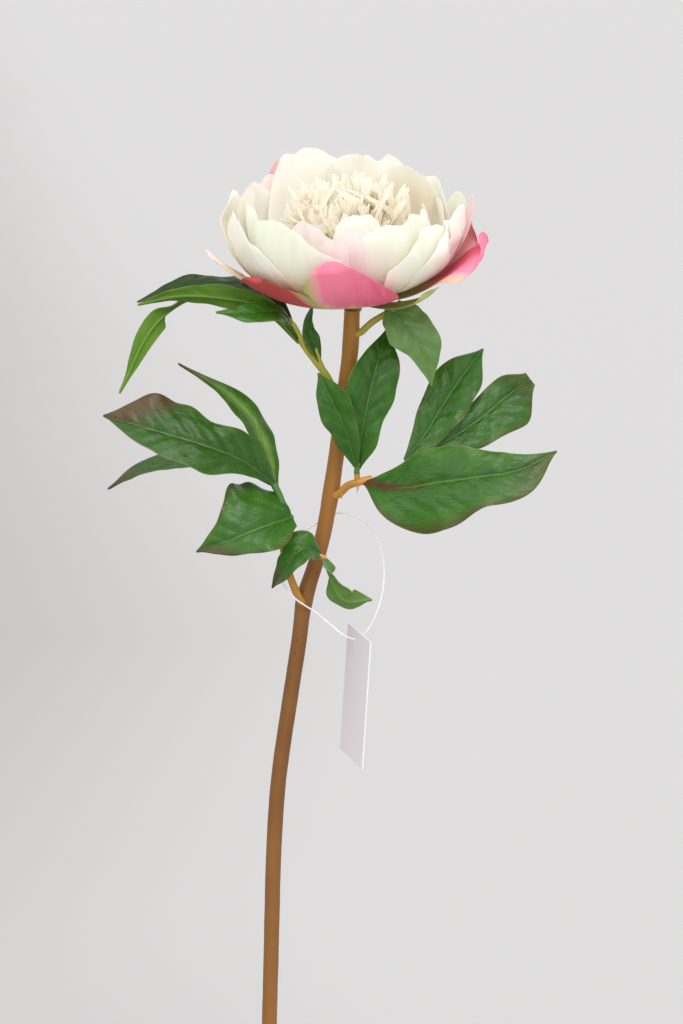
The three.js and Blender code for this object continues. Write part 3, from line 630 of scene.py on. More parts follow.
sepal_sheets = [petal_sheet(row, SEPAL_ROOT, sepal_limit, i) for i, row in enumerate(SEPALS)]
sepal_mesh = sheet_mesh("calyx_sepals", sepal_sheets)
cup_mesh = turned("calyx_cup", CALYX_CUP, BLOOM_SIDES, in_bloom)
ivory_heart = turned("ivory_heart", IVORY_HEART, BLOOM_SIDES, in_bloom)
guard_heart = turned("guard_heart", GUARD_HEART, BLOOM_SIDES, in_bloom)
print("sepals:", len(sepal_sheets))

# %% [markdown]
# Petaloids are the narrow creased strips in the heart of the bloom. There are three hundred of
# them, all alike in plan and none alike in place, so Geometry Nodes place them. Six cut shapes
# are made first, one by one. The tree sets points in the spiral that seed heads grow in, picks a
# shape for each, leans the outer ones out and gives each its own size from a fixed seed.

# %% Six cut shapes
PETALOID = {"rows": 17, "columns": 6, "half": 0.005, "foot_width": 0.45, "end": 0.05, "height": 30}
# Each shape is one unit tall: its name, width, bend, hood, twist, crease and cleft
PETALOID_SHAPES = [
    ("strip_a_plain", 0.085, 0.06, -0.1, 0.3, 0.35, 0),
    ("strip_b_turned", 0.065, 0.02, 0.15, 0.7, 0.45, 0),
    ("strip_c_bent", 0.09, 0.08, 0.2, -0.4, 0.4, 0.04),
    ("strip_d_slim", 0.06, 0.04, 0.05, -0.6, 0.5, 0),
    ("strip_e_out", 0.085, 0.06, -0.3, 0.4, 0.4, 0.03),
    ("strip_f_hooded", 0.13, 0.04, 0.9, 0.2, 0.6, 0),
]


def petaloid_shape(name, width, bend, hood, twist, crease, cleft):
    """A strip one unit tall. Bend carries it out, hood folds its tip in, and cleft splits its tip."""
    rows = 1 - (1 - np.linspace(0, 1, PETALOID["rows"])) ** 1.8
    s, v = np.meshgrid(rows, np.linspace(-1, 1, PETALOID["columns"]), indexing="ij")
    near_end = np.clip((s - 1 + PETALOID["end"]) / PETALOID["end"], 0, 1)
    foot_width = PETALOID["foot_width"]
    half = width / 2 * (foot_width + (1 - foot_width) * s) * np.sqrt(1 - 0.8 * near_end ** 2)
    t = s * (1 - 0.06 * np.abs(v) ** 3 - cleft * np.exp(-((v / 0.35) ** 2)))
    bent = bend * t ** 2 - hood * np.maximum(t - 0.65, 0) ** 2 * 4 + 0.012 * np.sin(9 * t + 30 * bend)
    up = t - hood * np.maximum(t - 0.7, 0) ** 2 * 2
    sway = 0.05 * np.sin(5 * t + 90 * width) * t
    fold = crease * half * (v ** 2 - 0.4) + 0.2 * half * np.sin(11 * s + 3 * v)
    cos, sin = np.cos(twist * s), np.sin(twist * s)
    x, y = bent + fold * cos - v * half * sin, sway + v * half * cos + fold * sin
    sheet = {
        "grid": np.stack([x, y, up], -1) / MM,
        "half": PETALOID["half"] / MM,
        "flat": np.stack([v * half, s], -1) * PETALOID["height"],
        "values": {"rise": s, "across": v, "blush": 0, "green": 0, "warm": 0},
    }
    return bpy.data.objects.new(name, sheet_mesh(name, [sheet]))


petaloid_kinds = bpy.data.collections.new("petaloid_kinds")
for row in PETALOID_SHAPES:
    petaloid_kinds.objects.link(petaloid_shape(*row))

# %% A tree's start, end and use
def start_tree(name, sockets):
    """A geometry tree with named inputs; returns it and what its input node gives."""
    tree = bpy.data.node_groups.new(name, "GeometryNodeTree")
    for label, kind in (("Geometry", "Geometry"), *sockets):
        tree.interface.new_socket(label, in_out="INPUT", socket_type="NodeSocket" + kind)
    tree.interface.new_socket("Geometry", in_out="OUTPUT", socket_type="NodeSocketGeometry")
    return tree, tree.nodes.new("NodeGroupInput").outputs


def end_tree(tree, geometry, material):
    """Makes every copy real geometry, gives it its material and ends the tree."""
    real = add(tree, "GeometryNodeRealizeInstances", geometry)
    done = add(tree, "GeometryNodeSetMaterial", {"Geometry": real, "Material": material})
    add(tree, "NodeGroupOutput", done)
    print(tree.name + ":", len(tree.nodes), "nodes")


def run_tree(name, start, tree, values):
    """Runs a tree on a mesh and returns the result as a plain mesh."""
    carrier = link(name + "_carrier", start)
    modifier = carrier.modifiers.new("build", "NODES")
    modifier.node_group = tree
    for item in tree.interface.items_tree:
        if item.in_out == "INPUT" and item.name in values:
            modifier[item.identifier] = values[item.name]
    evaluated = carrier.evaluated_get(bpy.context.evaluated_depsgraph_get())
    result = bpy.data.meshes.new_from_object(evaluated)
    result.name = name
    bpy.data.objects.remove(carrier)
    return result


# %% The tree that places the petaloids
SEED_SPIRAL = math.radians(137.508)
STRAY = {"shortest": 0.78, "tallest": 1.1, "sway": 0.12, "spin": 0.9}
# Of 22 equal draws, two give the hooded shape and the rest the five plain ones in turn
DRAWS = {"last": 21, "plain": 5, "hooded_above": 19.5}

tree, given = start_tree("petaloid tuft", [
    ("Count", "Int"), ("Spread", "Float"), ("Root", "Float"), ("Height in the middle", "Float"),
    ("Height at the rim", "Float"), ("Seed", "Int"), ("Kinds", "Collection"), ("Cloth", "Material"),
])
tuft_tree = tree
index = add(tree, "GeometryNodeInputIndex")
part = add(tree, "over", add(tree, "plus", index, 0.5), given["Count"])
share = add(tree, "root", part)
around = add(tree, "times", index, SEED_SPIRAL)
from_axis = add(tree, "times", share, given["Root"])
sides = [add(tree, "times", from_axis, add(tree, turn, around)) for turn in ("cosine", "sine")]
spot = add(tree, "ShaderNodeCombineXYZ", *sides)

seeds = [add(tree, "plus", given["Seed"], i) for i in range(4)]
size = add(tree, "draw", STRAY["shortest"], STRAY["tallest"], seeds[0])
middle, rim = given["Height in the middle"], given["Height at the rim"]
drop = add(tree, "minus", middle, rim)
squared = add(tree, "times", share, share)
tall = add(tree, "minus", middle, add(tree, "times", drop, squared))
height = add(tree, "times", tall, size)

widening = add(tree, "minus", given["Spread"], given["Root"])
outwards = add(tree, "times", share, widening)
lean = add(tree, "angle", outwards, tall)
sway = add(tree, "draw", -STRAY["sway"], STRAY["sway"], seeds[1])
spin = add(tree, "draw", -STRAY["spin"], STRAY["spin"], seeds[2])
leaning = add(tree, "times plus", sway, 0.8, lean)
facing = add(tree, "times plus", spin, 0.5, around)
aim = add(tree, "ShaderNodeCombineXYZ", sway, leaning, facing)

pick = add(tree, "draw whole", 0, DRAWS["last"], seeds[3])
hooded = add(tree, "above", pick, DRAWS["hooded_above"])
plain = add(tree, "remainder", pick, DRAWS["plain"])
to_hooded = add(tree, "minus", DRAWS["plain"], plain)
kind = add(tree, "times plus", hooded, to_hooded, plain)
kinds = add(tree, "GeometryNodeCollectionInfo", {
    "Collection": given["Kinds"], "Separate Children": True, "Reset Children": True})
dots = add(tree, "GeometryNodePoints", {"Count": given["Count"], "Position": spot})
placed = add(tree, "GeometryNodeInstanceOnPoints", {
    "Points": dots, "Instance": kinds, "Pick Instance": True, "Instance Index": kind,
    "Rotation": aim, "Scale": height})
toned = add(tree, "GeometryNodeStoreNamedAttribute", {
    "Geometry": placed, "Name": "tone", "Value": size}, data_type="FLOAT", domain="INSTANCE")
end_tree(tree, toned, given["Cloth"])

# %% [markdown]
# Petal cloth is a fine polyester weave, dyed after it is cut and then pressed with a heated
# tool. To the eye it is matt and a little translucent, with soft streaks that run from the foot
# to the rim like veins. The ivory cloth is yellower at its foot, where the dye pools, and some
# petals have a breath of pink or green outside. The weave itself is too fine to show from this
# distance, so its bump is drawn as wide as the pressed veins, which are about a millimetre apart.

# %% Cloth that is drawn on the flat
VEIN = (0.9, 22)
PATCH = (5, 40)


def grain(tree, across, along, detail, roughness=0.5, turn=0):
    """Noise on a sheet's flat map, with cells so many millimetres wide and long."""
    flat = add(tree, "flat")
    cells = add(tree, "ShaderNodeMapping", {
        "Vector": flat, "Rotation": (0, 0, turn), "Scale": (FLAT_UNIT / across, FLAT_UNIT / along, 1)})
    return add(tree, "noise", {"Vector": cells, "Scale": 1, "Detail": detail, "Roughness": roughness})


def stored_values(tree, keys):
    """The numbers that are stored on the mesh, such as how far up a petal a point is."""
    return {key: add(tree, "stored", attribute_name=key) for key in keys.split()}


print("pressed veins, mm wide and long:", VEIN)

# %% Petal cloth
def pink_dye(tree, on, vein, patch, outside, blush, deep):
    """The pink of a place, and how much of that dye it took: streaky, and none near the foot. Its brick pink
    is partly painted shade.
    """
    pale = add(tree, "times plus", on["rise"], -0.5, 0.85)
    aside = add(tree, "times plus", on["across"], 0.45, pale)
    some_vein = add(tree, "times", vein, 0.35)
    drawn = add(tree, "times plus", patch, 0.7, some_vein)
    streak = add(tree, "range", add(tree, "times", drawn, aside), 0.15, 0.65)
    rosy = add(tree, "mix", streak, blush, deep)
    # Brick: a darker brick pink, partly the petal's dye and partly painted shade
    pink = add(tree, "mix", on["brick"], rosy, "#cc5450")
    strength = add(tree, "times", on["blush"], outside)
    ragged = add(tree, "times plus", patch, 0.35, on["rise"])
    above_foot = add(tree, "soft range", ragged, 0.34, 0.62)
    full = add(tree, "times", strength, above_foot)
    most = add(tree, "lesser", full, 1)
    unlimed = add(tree, "minus", 1, on["lime"])
    return pink, add(tree, "times", most, unlimed)


def green_dye(tree, on, patch, outside):
    """How much of the green dye a place took: patchy, and none at the margins."""
    edge = add(tree, "size of", on["across"])
    from_margin = add(tree, "soft range", edge, 0.3, 1, 1, 0)
    asked = add(tree, "times", on["green"], outside)
    patchy = add(tree, "times", asked, patch)
    green = add(tree, "times", patchy, from_margin)
    return add(tree, "lesser", green, 1)


def petal_cloth(name, ground, blush, deep, foot, inner_blush, through):
    """Dyed petal cloth: the ground from foot to rim, then the dyes that the stored values ask for, among them
    a painted warm glow and a brick pink that is partly painted shade.
    """
    made, tree = start_material(name)
    on = stored_values(tree, "rise across inside tone blush green warm brick lime")
    vein = grain(tree, *VEIN, 3, 0.55)
    patch = grain(tree, *PATCH, 2)
    hidden = add(tree, "times", on["inside"], 1 - inner_blush)
    outside = add(tree, "minus", 1, hidden)
    to_rim = add(tree, "minus", 1.1, on["rise"])
    pink, pinked = pink_dye(tree, on, vein, patch, outside, blush, deep)
    colour = add(tree, "ramp", on["rise"], stops=ground)
    for share, dye in (
        (add(tree, "times", vein, 0.1), foot),
        (add(tree, "times", on["tone"], 0.12), ground[1][1]),
        # Painted warm glow: a yellow-cream tint towards the foot, standing in for light through the petals
        (add(tree, "times", on["warm"], to_rim), "#fbe6b4"),
        (on["lime"], "#bcc468"),
        (pinked, pink),
        (green_dye(tree, on, patch, outside), "#dcedc4"),
    ):
        colour = add(tree, "mix", share, colour, dye)
    press = add(tree, "bump", {"Height": vein, "Distance": 0.2 * MM, "Strength": 0.6})
    shader = add(tree, "shader", {
        "Base Color": colour, "Normal": press, "Roughness": 0.7, "Specular IOR Level": 0.15,
        "Sheen Weight": 0.06})
    lit_through = add(tree, "ShaderNodeBsdfTranslucent", {"Color": colour, "Normal": press})
    add(tree, "surface", add(tree, "ShaderNodeMixShader", through, shader, lit_through))
    print(name + ":", len(tree.nodes), "nodes")
    return made


# %% The three petal cloths
IVORY = [(0.0, "#f4e3b0"), (0.28, "#fdf6df"), (0.62, "#fffef8"), (1.0, "#fffffc")]
GUARD = [(0.0, "#c2c46c"), (0.3, "#e6e4a2"), (0.5, "#fbf1d2"), (1.0, "#fdf2e8")]
# The petaloids' ochre foot is partly their own yellow and partly painted shade deep in the tuft.
HEART = [(0.0, "#e8bc5c"), (0.3, "#fde9ae"), (0.55, "#fffdf4"), (1.0, "#ffffff")]
ivory_cloth = petal_cloth("ivory petal cloth", IVORY, "#fbd3dc", "#f3bccb", "#f6ecce", 0.25, 0.5)
guard_cloth = petal_cloth("pink guard petal cloth", GUARD, "#ff93ae", "#ea4e76", "#e6d690", 0.75, 0.25)
heart_cloth = petal_cloth("cream petaloid cloth", HEART, "#fbd3dc", "#f3bccb", "#f6e8c0", 1, 0.75)

dress(ivory_mesh, [ivory_cloth, ivory_cloth], "ivory_petals")
dress(guard_mesh, [guard_cloth, guard_cloth], "guard_petals")

# %% Petaloid tuft
TUFT = {
    "Count": 300, "Spread": 31 * MM, "Root": 9.5 * MM, "Height in the middle": 40 * MM,
    "Height at the rim": 37 * MM, "Seed": 5, "Kinds": petaloid_kinds, "Cloth": heart_cloth,
}
TUFT_ROOT_HEIGHT = 11
TUFT_SHARE = 0.985


def tuft_limit(p, s=None, order=0):
    """Keeps a petaloid inside the inner bowl."""
    return between(p, INNER_BOWL, 0, TUFT_SHARE)


tuft_mesh = run_tree("petaloid_tuft_cloth", bpy.data.meshes.new("start"), tuft_tree, TUFT)
points = np.empty(len(tuft_mesh.vertices) * 3, np.float32)
tuft_mesh.vertices.foreach_get("co", points)
standing = points.reshape(-1, 3).astype(float) / MM + np.array([0, 0, TUFT_ROOT_HEIGHT])
tuft_points = in_bloom(tuft_limit(standing)) * MM
tuft_mesh.vertices.foreach_set("co", tuft_points.astype(np.float32).ravel())
tuft_mesh.update()
dress(tuft_mesh, [heart_cloth], "petaloid_tuft")

# %% [markdown]
# A few petaloids are broad enough to be seen one by one: a curled one at the back of the heart
# and a loose ring of narrow petals round it. They are petals with a tight cup.

# %% Broad petaloids
BROAD_ROOT = (3, 9)
BROAD_PETALOIDS = [
    petal(95, (6, 49), 18, cup=5.5, wave=0.3, curl=-3),
    petal(30, (21, 48), 11, cup=6, round=0.35, wave=0.5, curl=-1),
    petal(5, (29, 43), 11, cup=6, round=0.35, wave=0.5, curl=-2, warm=0.4),
    petal(340, (28, 38), 9, cup=6, round=0.35, wave=0.5, curl=-1),
    petal(205, (25, 40), 9, cup=5, round=0.35, wave=0.5, curl=-2),
    petal(178, (26, 41), 8, cup=5, round=0.35, wave=0.5, curl=1),
    petal(150, (22, 45), 9, cup=6, round=0.35, wave=0.5, curl=-1),
    petal(62, (14, 47), 9, cup=5, round=0.35, wave=0.5, curl=-2),
    petal(125, (16, 47), 9, cup=5, round=0.35, wave=0.5, curl=-2),
]
broad_sheets = [petal_sheet(row, BROAD_ROOT, tuft_limit, i) for i, row in enumerate(BROAD_PETALOIDS)]
broad_mesh = sheet_mesh("petaloids_broad", broad_sheets)
dress(broad_mesh, [heart_cloth, heart_cloth], "petaloid_tuft")

# %% [markdown]
# The sepals are a heavier cloth than the petals, dyed yellow-green over a brown foot and left
# matt, with the same pressed veins.

# %% Sepal cloth and the bloom's cores
sepal_cloth, tree = start_material("sepal cloth")
vein = grain(tree, *VEIN, 2)
rise = stored_values(tree, "rise")["rise"]
body = add(tree, "ramp", rise, stops=[(0.1, "#8a6a36"), (0.4, "#c2c878")])
half_vein = add(tree, "times", vein, 0.5)
veined = add(tree, "mix", half_vein, body, "#8f9a44")
press = add(tree, "bump", {"Height": vein, "Distance": 0.15 * MM})
add(tree, "surface", add(tree, "shader", {"Base Color": veined, "Normal": press, "Roughness": 0.55}))

dress(sepal_mesh, [sepal_cloth, sepal_cloth], "calyx")
dress(ivory_heart, [ivory_cloth], "ivory_petals")
dress(guard_heart, [guard_cloth], "guard_petals")

# %% [markdown]
# The stem and the leaf stalks are wires in a moulded plastic skin. Each is a round section swept
# along a path, a little thicker where something grows from it. One Geometry Nodes tree makes them
# all: it reads a girth that is stored on the path's points, sweeps a circle, pushes the surface
# in and out by a slow noise so that no stalk is perfectly round, and gives it its skin.

# %% The tree that sweeps a stalk
tree, given = start_tree("stalk along a path", [
    ("Sides", "Int"), ("Lump height", "Float"), ("Lump size", "Float"), ("Skin", "Material"),
])
stalk_tree = tree
path = add(tree, "GeometryNodeMeshToCurve", {"Mesh": given["Geometry"]})
girth = add(tree, "GeometryNodeInputNamedAttribute", {"Name": "girth"}, data_type="FLOAT")
section = add(tree, "GeometryNodeCurvePrimitiveCircle", {"Resolution": given["Sides"], "Radius": 1})
swept = add(tree, "GeometryNodeCurveToMesh", {
    "Curve": path, "Profile Curve": section, "Scale": girth, "Fill Caps": True})
where = add(tree, "GeometryNodeInputPosition")
lump_scale = add(tree, "over", 1, given["Lump size"])
lumps = add(tree, "noise", {"Vector": where, "Scale": lump_scale, "Detail": 1})
from_middle = add(tree, "minus", lumps, 0.5)
push = add(tree, "times", from_middle, given["Lump height"])
outward = add(tree, "GeometryNodeInputNormal")
offset = add(tree, "ShaderNodeVectorMath", {0: outward, 3: push}, operation="SCALE")
uneven = add(tree, "GeometryNodeSetPosition", {"Geometry": swept, "Offset": offset})
end_tree(tree, add(tree, "GeometryNodeSetShadeSmooth", uneven), given["Skin"])


def stalk_paths(name, paths):
    """One mesh of edges from paths: each has its points, their girths and stored values."""
    points, edges, stored = [], [], {}
    for path in paths:
        start, count = len(points), len(path["points"])
        points += (path["points"] * MM).tolist()
        edges += [(start + i, start + i + 1) for i in range(count - 1)]
        for key, unit in (("girth", MM), ("tone", 1), ("sheath", 1)):
            stored.setdefault(key, []).extend(np.broadcast_to(path[key], count) * unit)
    mesh = bpy.data.meshes.new(name)
    mesh.from_pydata(points, edges, [])
    store(mesh, stored)
    return mesh


# %% [markdown]
# The skin of the stem is painted, not dyed: an ochre brown with darker red-brown streaks that run
# along it, a few small spots where the paint pooled, and a satin gloss. The leaf stalks have the
# same skin in orange or yellow-green, and a green sheath where a leaflet clips on. The streaks
# are about two millimetres wide and 45 mm long.

# %% Stem skin
STREAK = {"width": 2, "length": 45.714}
SPOTS = [(19.6, -3.2, 372, 1.0), (18.6, -3.2, 366, 0.9), (15.3, -3.4, 327, 1.0), (25.6, -3.0, 396, 0.9)]

stem_skin, tree = start_material("painted stem plastic")
place = add(tree, "place")
wide, long = marks(STREAK["width"]), marks(STREAK["length"])
along_stem = add(tree, "ShaderNodeMapping", {"Vector": place, "Scale": (wide, wide, long)})
streak = add(tree, "noise", {"Vector": along_stem, "Scale": 1, "Detail": 4, "Roughness": 0.6})
cloud = add(tree, "noise", {"Vector": place, "Scale": marks(22.22), "Detail": 2})
height = add(tree, "range", add(tree, "axes", place, out="Z"), 200 * MM, 500 * MM)
# The skin is darker about the middle of the stem's height: that darkening is painted shade.
skin = add(tree, "ramp", height, stops=[(0, "#744a20"), (0.55, "#5f3b1c"), (1, "#ad762f")])
layers = [
    (add(tree, "times", streak, 0.55), "#74431f"),
    (add(tree, "times", cloud, 0.35), "#a87a3c"),
]
for x, y, z, radius in SPOTS:
    centre = (x * MM, y * MM, z * MM)
    away = add(tree, "ShaderNodeVectorMath", place, centre, out="Value", operation="DISTANCE")
    layers.append((add(tree, "range", away, 0.3 * radius * MM, radius * MM, 0.75, 0), "#6d2f22"))
for share, colour in layers:
    skin = add(tree, "mix", share, skin, colour)
ridge = add(tree, "bump", {"Height": streak, "Distance": 0.25 * MM, "Strength": 0.5})
add(tree, "surface", add(tree, "shader", {
    "Base Color": skin, "Normal": ridge, "Roughness": 0.45, "Specular IOR Level": 0.3}))
print(stem_skin.name + ":", len(tree.nodes), "nodes")

# %% Stalk skin
stalk_skin, tree = start_material("painted stalk plastic")
cloud = add(tree, "noise", {"Vector": add(tree, "place"), "Scale": marks(3.846), "Detail": 3})
on = stored_values(tree, "tone sheath")
skin = add(tree, "ramp", on["tone"], stops=[(0, "#b98230"), (1, "#a5a73a")])
browned = add(tree, "times", cloud, 0.4)
for share, colour in ((browned, "#96702c"), (on["sheath"], "#3f6b2c")):
    skin = add(tree, "mix", share, skin, colour)
ridge = add(tree, "bump", {"Height": cloud, "Distance": 0.2 * MM, "Strength": 0.5})
add(tree, "surface", add(tree, "shader", {"Base Color": skin, "Normal": ridge, "Roughness": 0.4}))
print(stalk_skin.name + ":", len(tree.nodes), "nodes")

# %% Stem
STEM_RADIUS = 3.6
STEM_STEPS = 320
STEM_LINE = [
    (-1.2, 0, 6.4), (0.8, 0, 60), (3.6, 0, 120), (5.4, 0, 160), (5.9, 0, 185), (7, 0, 226), (8.1, 0, 265),
    (10.6, 0, 304), (16.1, 0, 343), (20.3, 0, 371), (23, 0, 391), (29, 0, 411), (31.5, 0, 421),
    (34.3, 0, 436), (39, 0, 468), (42, 0, 490), (44, -0.5, 508), (44.8, -2.6, 526.5),
]
# The height of each place where a leaf grows, and how much thicker the stem is there
NODES = [(391, 0.45), (441, 0.3), (489, 0.25), (511, 0.25)]
NODE_LENGTH = 7

stem_line = smooth_line(STEM_LINE, np.linspace(0, 1, STEM_STEPS))
heights = stem_line[:, 2]
swelling = sum(size * np.exp(-(((heights - z) / NODE_LENGTH) ** 2)) for z, size in NODES)
stem_path = {"points": stem_line, "girth": STEM_RADIUS + swelling, "tone": 0, "sheath": 0}
stem_mesh = run_tree("stem_skin_round", stalk_paths("stem_path", [stem_path]), stalk_tree, {
    "Sides": 40, "Lump height": 0.35 * MM, "Lump size": 14 * MM, "Skin": stem_skin})
dress(stem_mesh, [stem_skin], "stem")
dress(cup_mesh, [stem_skin], "calyx")

# %% [markdown]
# A peony leaf is cut into leaflets that share a stalk. On a made flower each leaflet is die-cut
# from coated cloth and pressed in a mould, so it keeps a fold along its midrib, the pattern of
# side veins, and a margin that waves. The tables below give each leaflet its midrib, the way
# that its upper face looks at both ends, and its half widths at even steps on both sides. A
# sheet follows them, and the veins and waves are added on top in the sheet's own directions.

# %% Rows of the leaf tables
# Dark is painted shade on a leaflet, and light is a painted sheen along its midrib.
PLAIN_LEAFLET = {
    "wavy": 1, "upper_share": 1, "tip": 0, "slope": 0, "margin": 0, "rust": 0, "pale": 0, "light": 0,
    "dark": 0,
}
NO_SHEATH = 2


def leaflet(rib, face, left, right, **dye):
    """A leaflet from its midrib, its face at both ends, its half widths, how it is dyed, and where shade and
    sheen are painted on it.
    """
    return {**PLAIN_LEAFLET, "rib": rib, "face": face, "left": left, "right": right, **dye}


def stalk(radius, line, tone=0, sheath=NO_SHEATH):
    """A stalk from its radius, its points, its tone from orange to green, and its sheath's start."""
    return {"radius": radius, "line": line, "tone": tone, "sheath": sheath}


# Among them, the dark and the light are painted shade and painted sheen, not dye.
print("dyes and waves of a leaflet:", ", ".join(PLAIN_LEAFLET))

# %% Upper left leaf and bract
UPPER_LEFT = [
    stalk(1.7, [(37.5, -3.5, 489), (33, -6, 497), (28, -8, 504), (23, -9, 511), (19, -7, 517)], tone=1),
    stalk(1.1, [(28, -8, 504), (24, -10.5, 509), (20, -15, 519), (16.5, -20, 525)], tone=1),
    stalk(1.1, [(33, -6, 497), (30, -8.5, 504), (28, -10, 510)], tone=1),
    stalk(1.1, [(20, -7.5, 515), (12, -1, 524), (4, 6, 529)], tone=1),
], [
    leaflet([(21, -7, 512), (8, -3, 529), (-6, 4, 535.6), (-29, 12, 534.5), (-54, 18, 527)],
            [(-0.3, -0.5, 0.8), (-0.1, -0.35, 0.95)], [1, 5, 8, 8, 7, 0.4], [1, 5, 9, 8, 7, 0.4],
            dark=1, wavy=2),
    leaflet([(21, -8.5, 512), (6, -14, 529), (-14, -18, 534.2), (-34, -15, 534.5), (-52, -10, 530)],
            [(0.3, 0.9, 0.2), (0.1, 0.85, 0.5)], [1, 4.5, 6, 5, 3.5, 0.4], [1, 4, 5, 5, 3, 0.4],
            dark=0.3, wavy=1.6),
    leaflet([(6, 5, 528.5), (-14, 17, 531), (-31, 15, 528), (-46, 4, 517), (-61, -4, 488)],
            [(0, -0.2, 1), (0.55, 0.8, 0.1)], [1, 3, 3.4, 5, 5.5, 0.4], [1, 3, 3, 4, 4.5, 0.4], dark=0.2),
    leaflet([(17.5, -18.5, 523.5), (10, -25, 529), (-3, -30, 529), (-16, -32, 530)],
            [(0, -0.6, 0.8), (-0.1, -0.7, 0.7)], [1.5, 7.5, 8, 6.5, 3.5, 0.4], [1, 5, 6, 5.5, 3, 0.4]),
    leaflet([(30.5, -8, 502.5), (28, -10, 510), (24.5, -10, 520), (27, -6, 529)],
            [(0.6, -0.75, 0.2), (0.8, -0.6, 0.1)], [0.8, 2.4, 4, 4.2, 2.8, 0.4],
            [0.8, 2.4, 4, 4.2, 2.8, 0.4]),
]
BRACT = [
    stalk(1.6, [(48.3, -4, 516), (54, -7, 521.5), (60, -9, 525.5), (64, -10, 527.5)], tone=0.7),
], [
    leaflet([(62, -9, 528.8), (68, -12.5, 522), (76, -14, 511), (81, -12, 493)],
            [(0.25, -0.75, 0.6), (0.2, -0.95, 0.25)], [5, 10.5, 11.5, 10.5, 6.5, 0.4],
            [4, 10, 11.5, 9.5, 5, 0.4], pale=0.7),
]
print("stalks and leaflets:", [len(rows) for rows in UPPER_LEFT], [len(rows) for rows in BRACT])

# %% Middle right leaf
MIDDLE_RIGHT = [
    stalk(1.9, [(38.5, -3.5, 441), (43, -8, 446), (48, -12, 448.5), (54, -11.5, 450)]),
    stalk(1.4, [(47.5, -11.5, 448), (47, -13, 453), (47.5, -13.5, 458)], sheath=0.45),
    stalk(1.3, [(53, -11.5, 449), (61, -9, 450.5), (70, -6, 455), (75, -3, 461)]),
], [
    leaflet([(47.5, -13.5, 455), (49, -15, 470), (52, -14, 486), (56, -9, 502), (61, -1, 518)],
            [(0.1, -0.95, 0.2), (0.25, -0.9, 0.35)], [1.2, 4, 10, 12, 7.5, 0.4],
            [1.2, 7.5, 9, 12.5, 9.5, 0.4], wavy=1.8),
    leaflet([(46.5, -14.5, 456), (42.5, -18, 472), (36.5, -20, 486), (29.5, -18, 500)],
            [(-0.2, -0.95, 0.1), (-0.15, -0.95, 0.25)], [1, 5.5, 7.5, 8, 6, 0.4], [1, 4.5, 6, 8, 6.5, 0.4],
            margin=0.3),
    leaflet([(50, -13, 448.5), (66, -24, 448), (84, -30, 452), (101, -33, 455), (119, -33, 458),
             (137, -28, 466)],
            [(-0.1, -0.85, 0.5), (0.1, -0.85, 0.5)], [1, 13.5, 16.5, 14.5, 8.5, 0.4],
            [1, 17, 24, 16, 13.5, 0.4], rust=0.9, tip=0.45, slope=0.12, margin=0.8, upper_share=0.2),
    leaflet([(69, -6, 457.5), (78, 0, 468), (86, 6, 480), (95, 10, 493), (105, 12, 506)],
            [(-0.1, -0.95, 0.25), (0.1, -0.9, 0.4)], [1, 5.5, 9, 11.5, 9.5, 0.4],
            [1, 7, 10, 11.5, 9.5, 0.4], margin=0.4),
    leaflet([(69, -5.5, 457), (89, 4, 465), (104, 10, 474), (116, 16, 483), (127, 18, 491)],
            [(0, -0.9, 0.4), (0.1, -0.9, 0.4)], [1, 4.5, 7.5, 8.5, 9.5, 3.5], [1, 6, 12, 15, 15, 4],
            margin=0.5, tip=0.4),
]
# Short torn ends on the underside of the stalks
STALK_NIBS = {"leaf_middle_right": [
    [(47.5, -12, 448), (47.4, -13, 446), (47, -14, 443.8)],
    [(40.5, -5.5, 443.4), (40.2, -6.4, 441.5), (40, -7, 439.6)],
]}
print("stalks and leaflets:", [len(rows) for rows in MIDDLE_RIGHT])

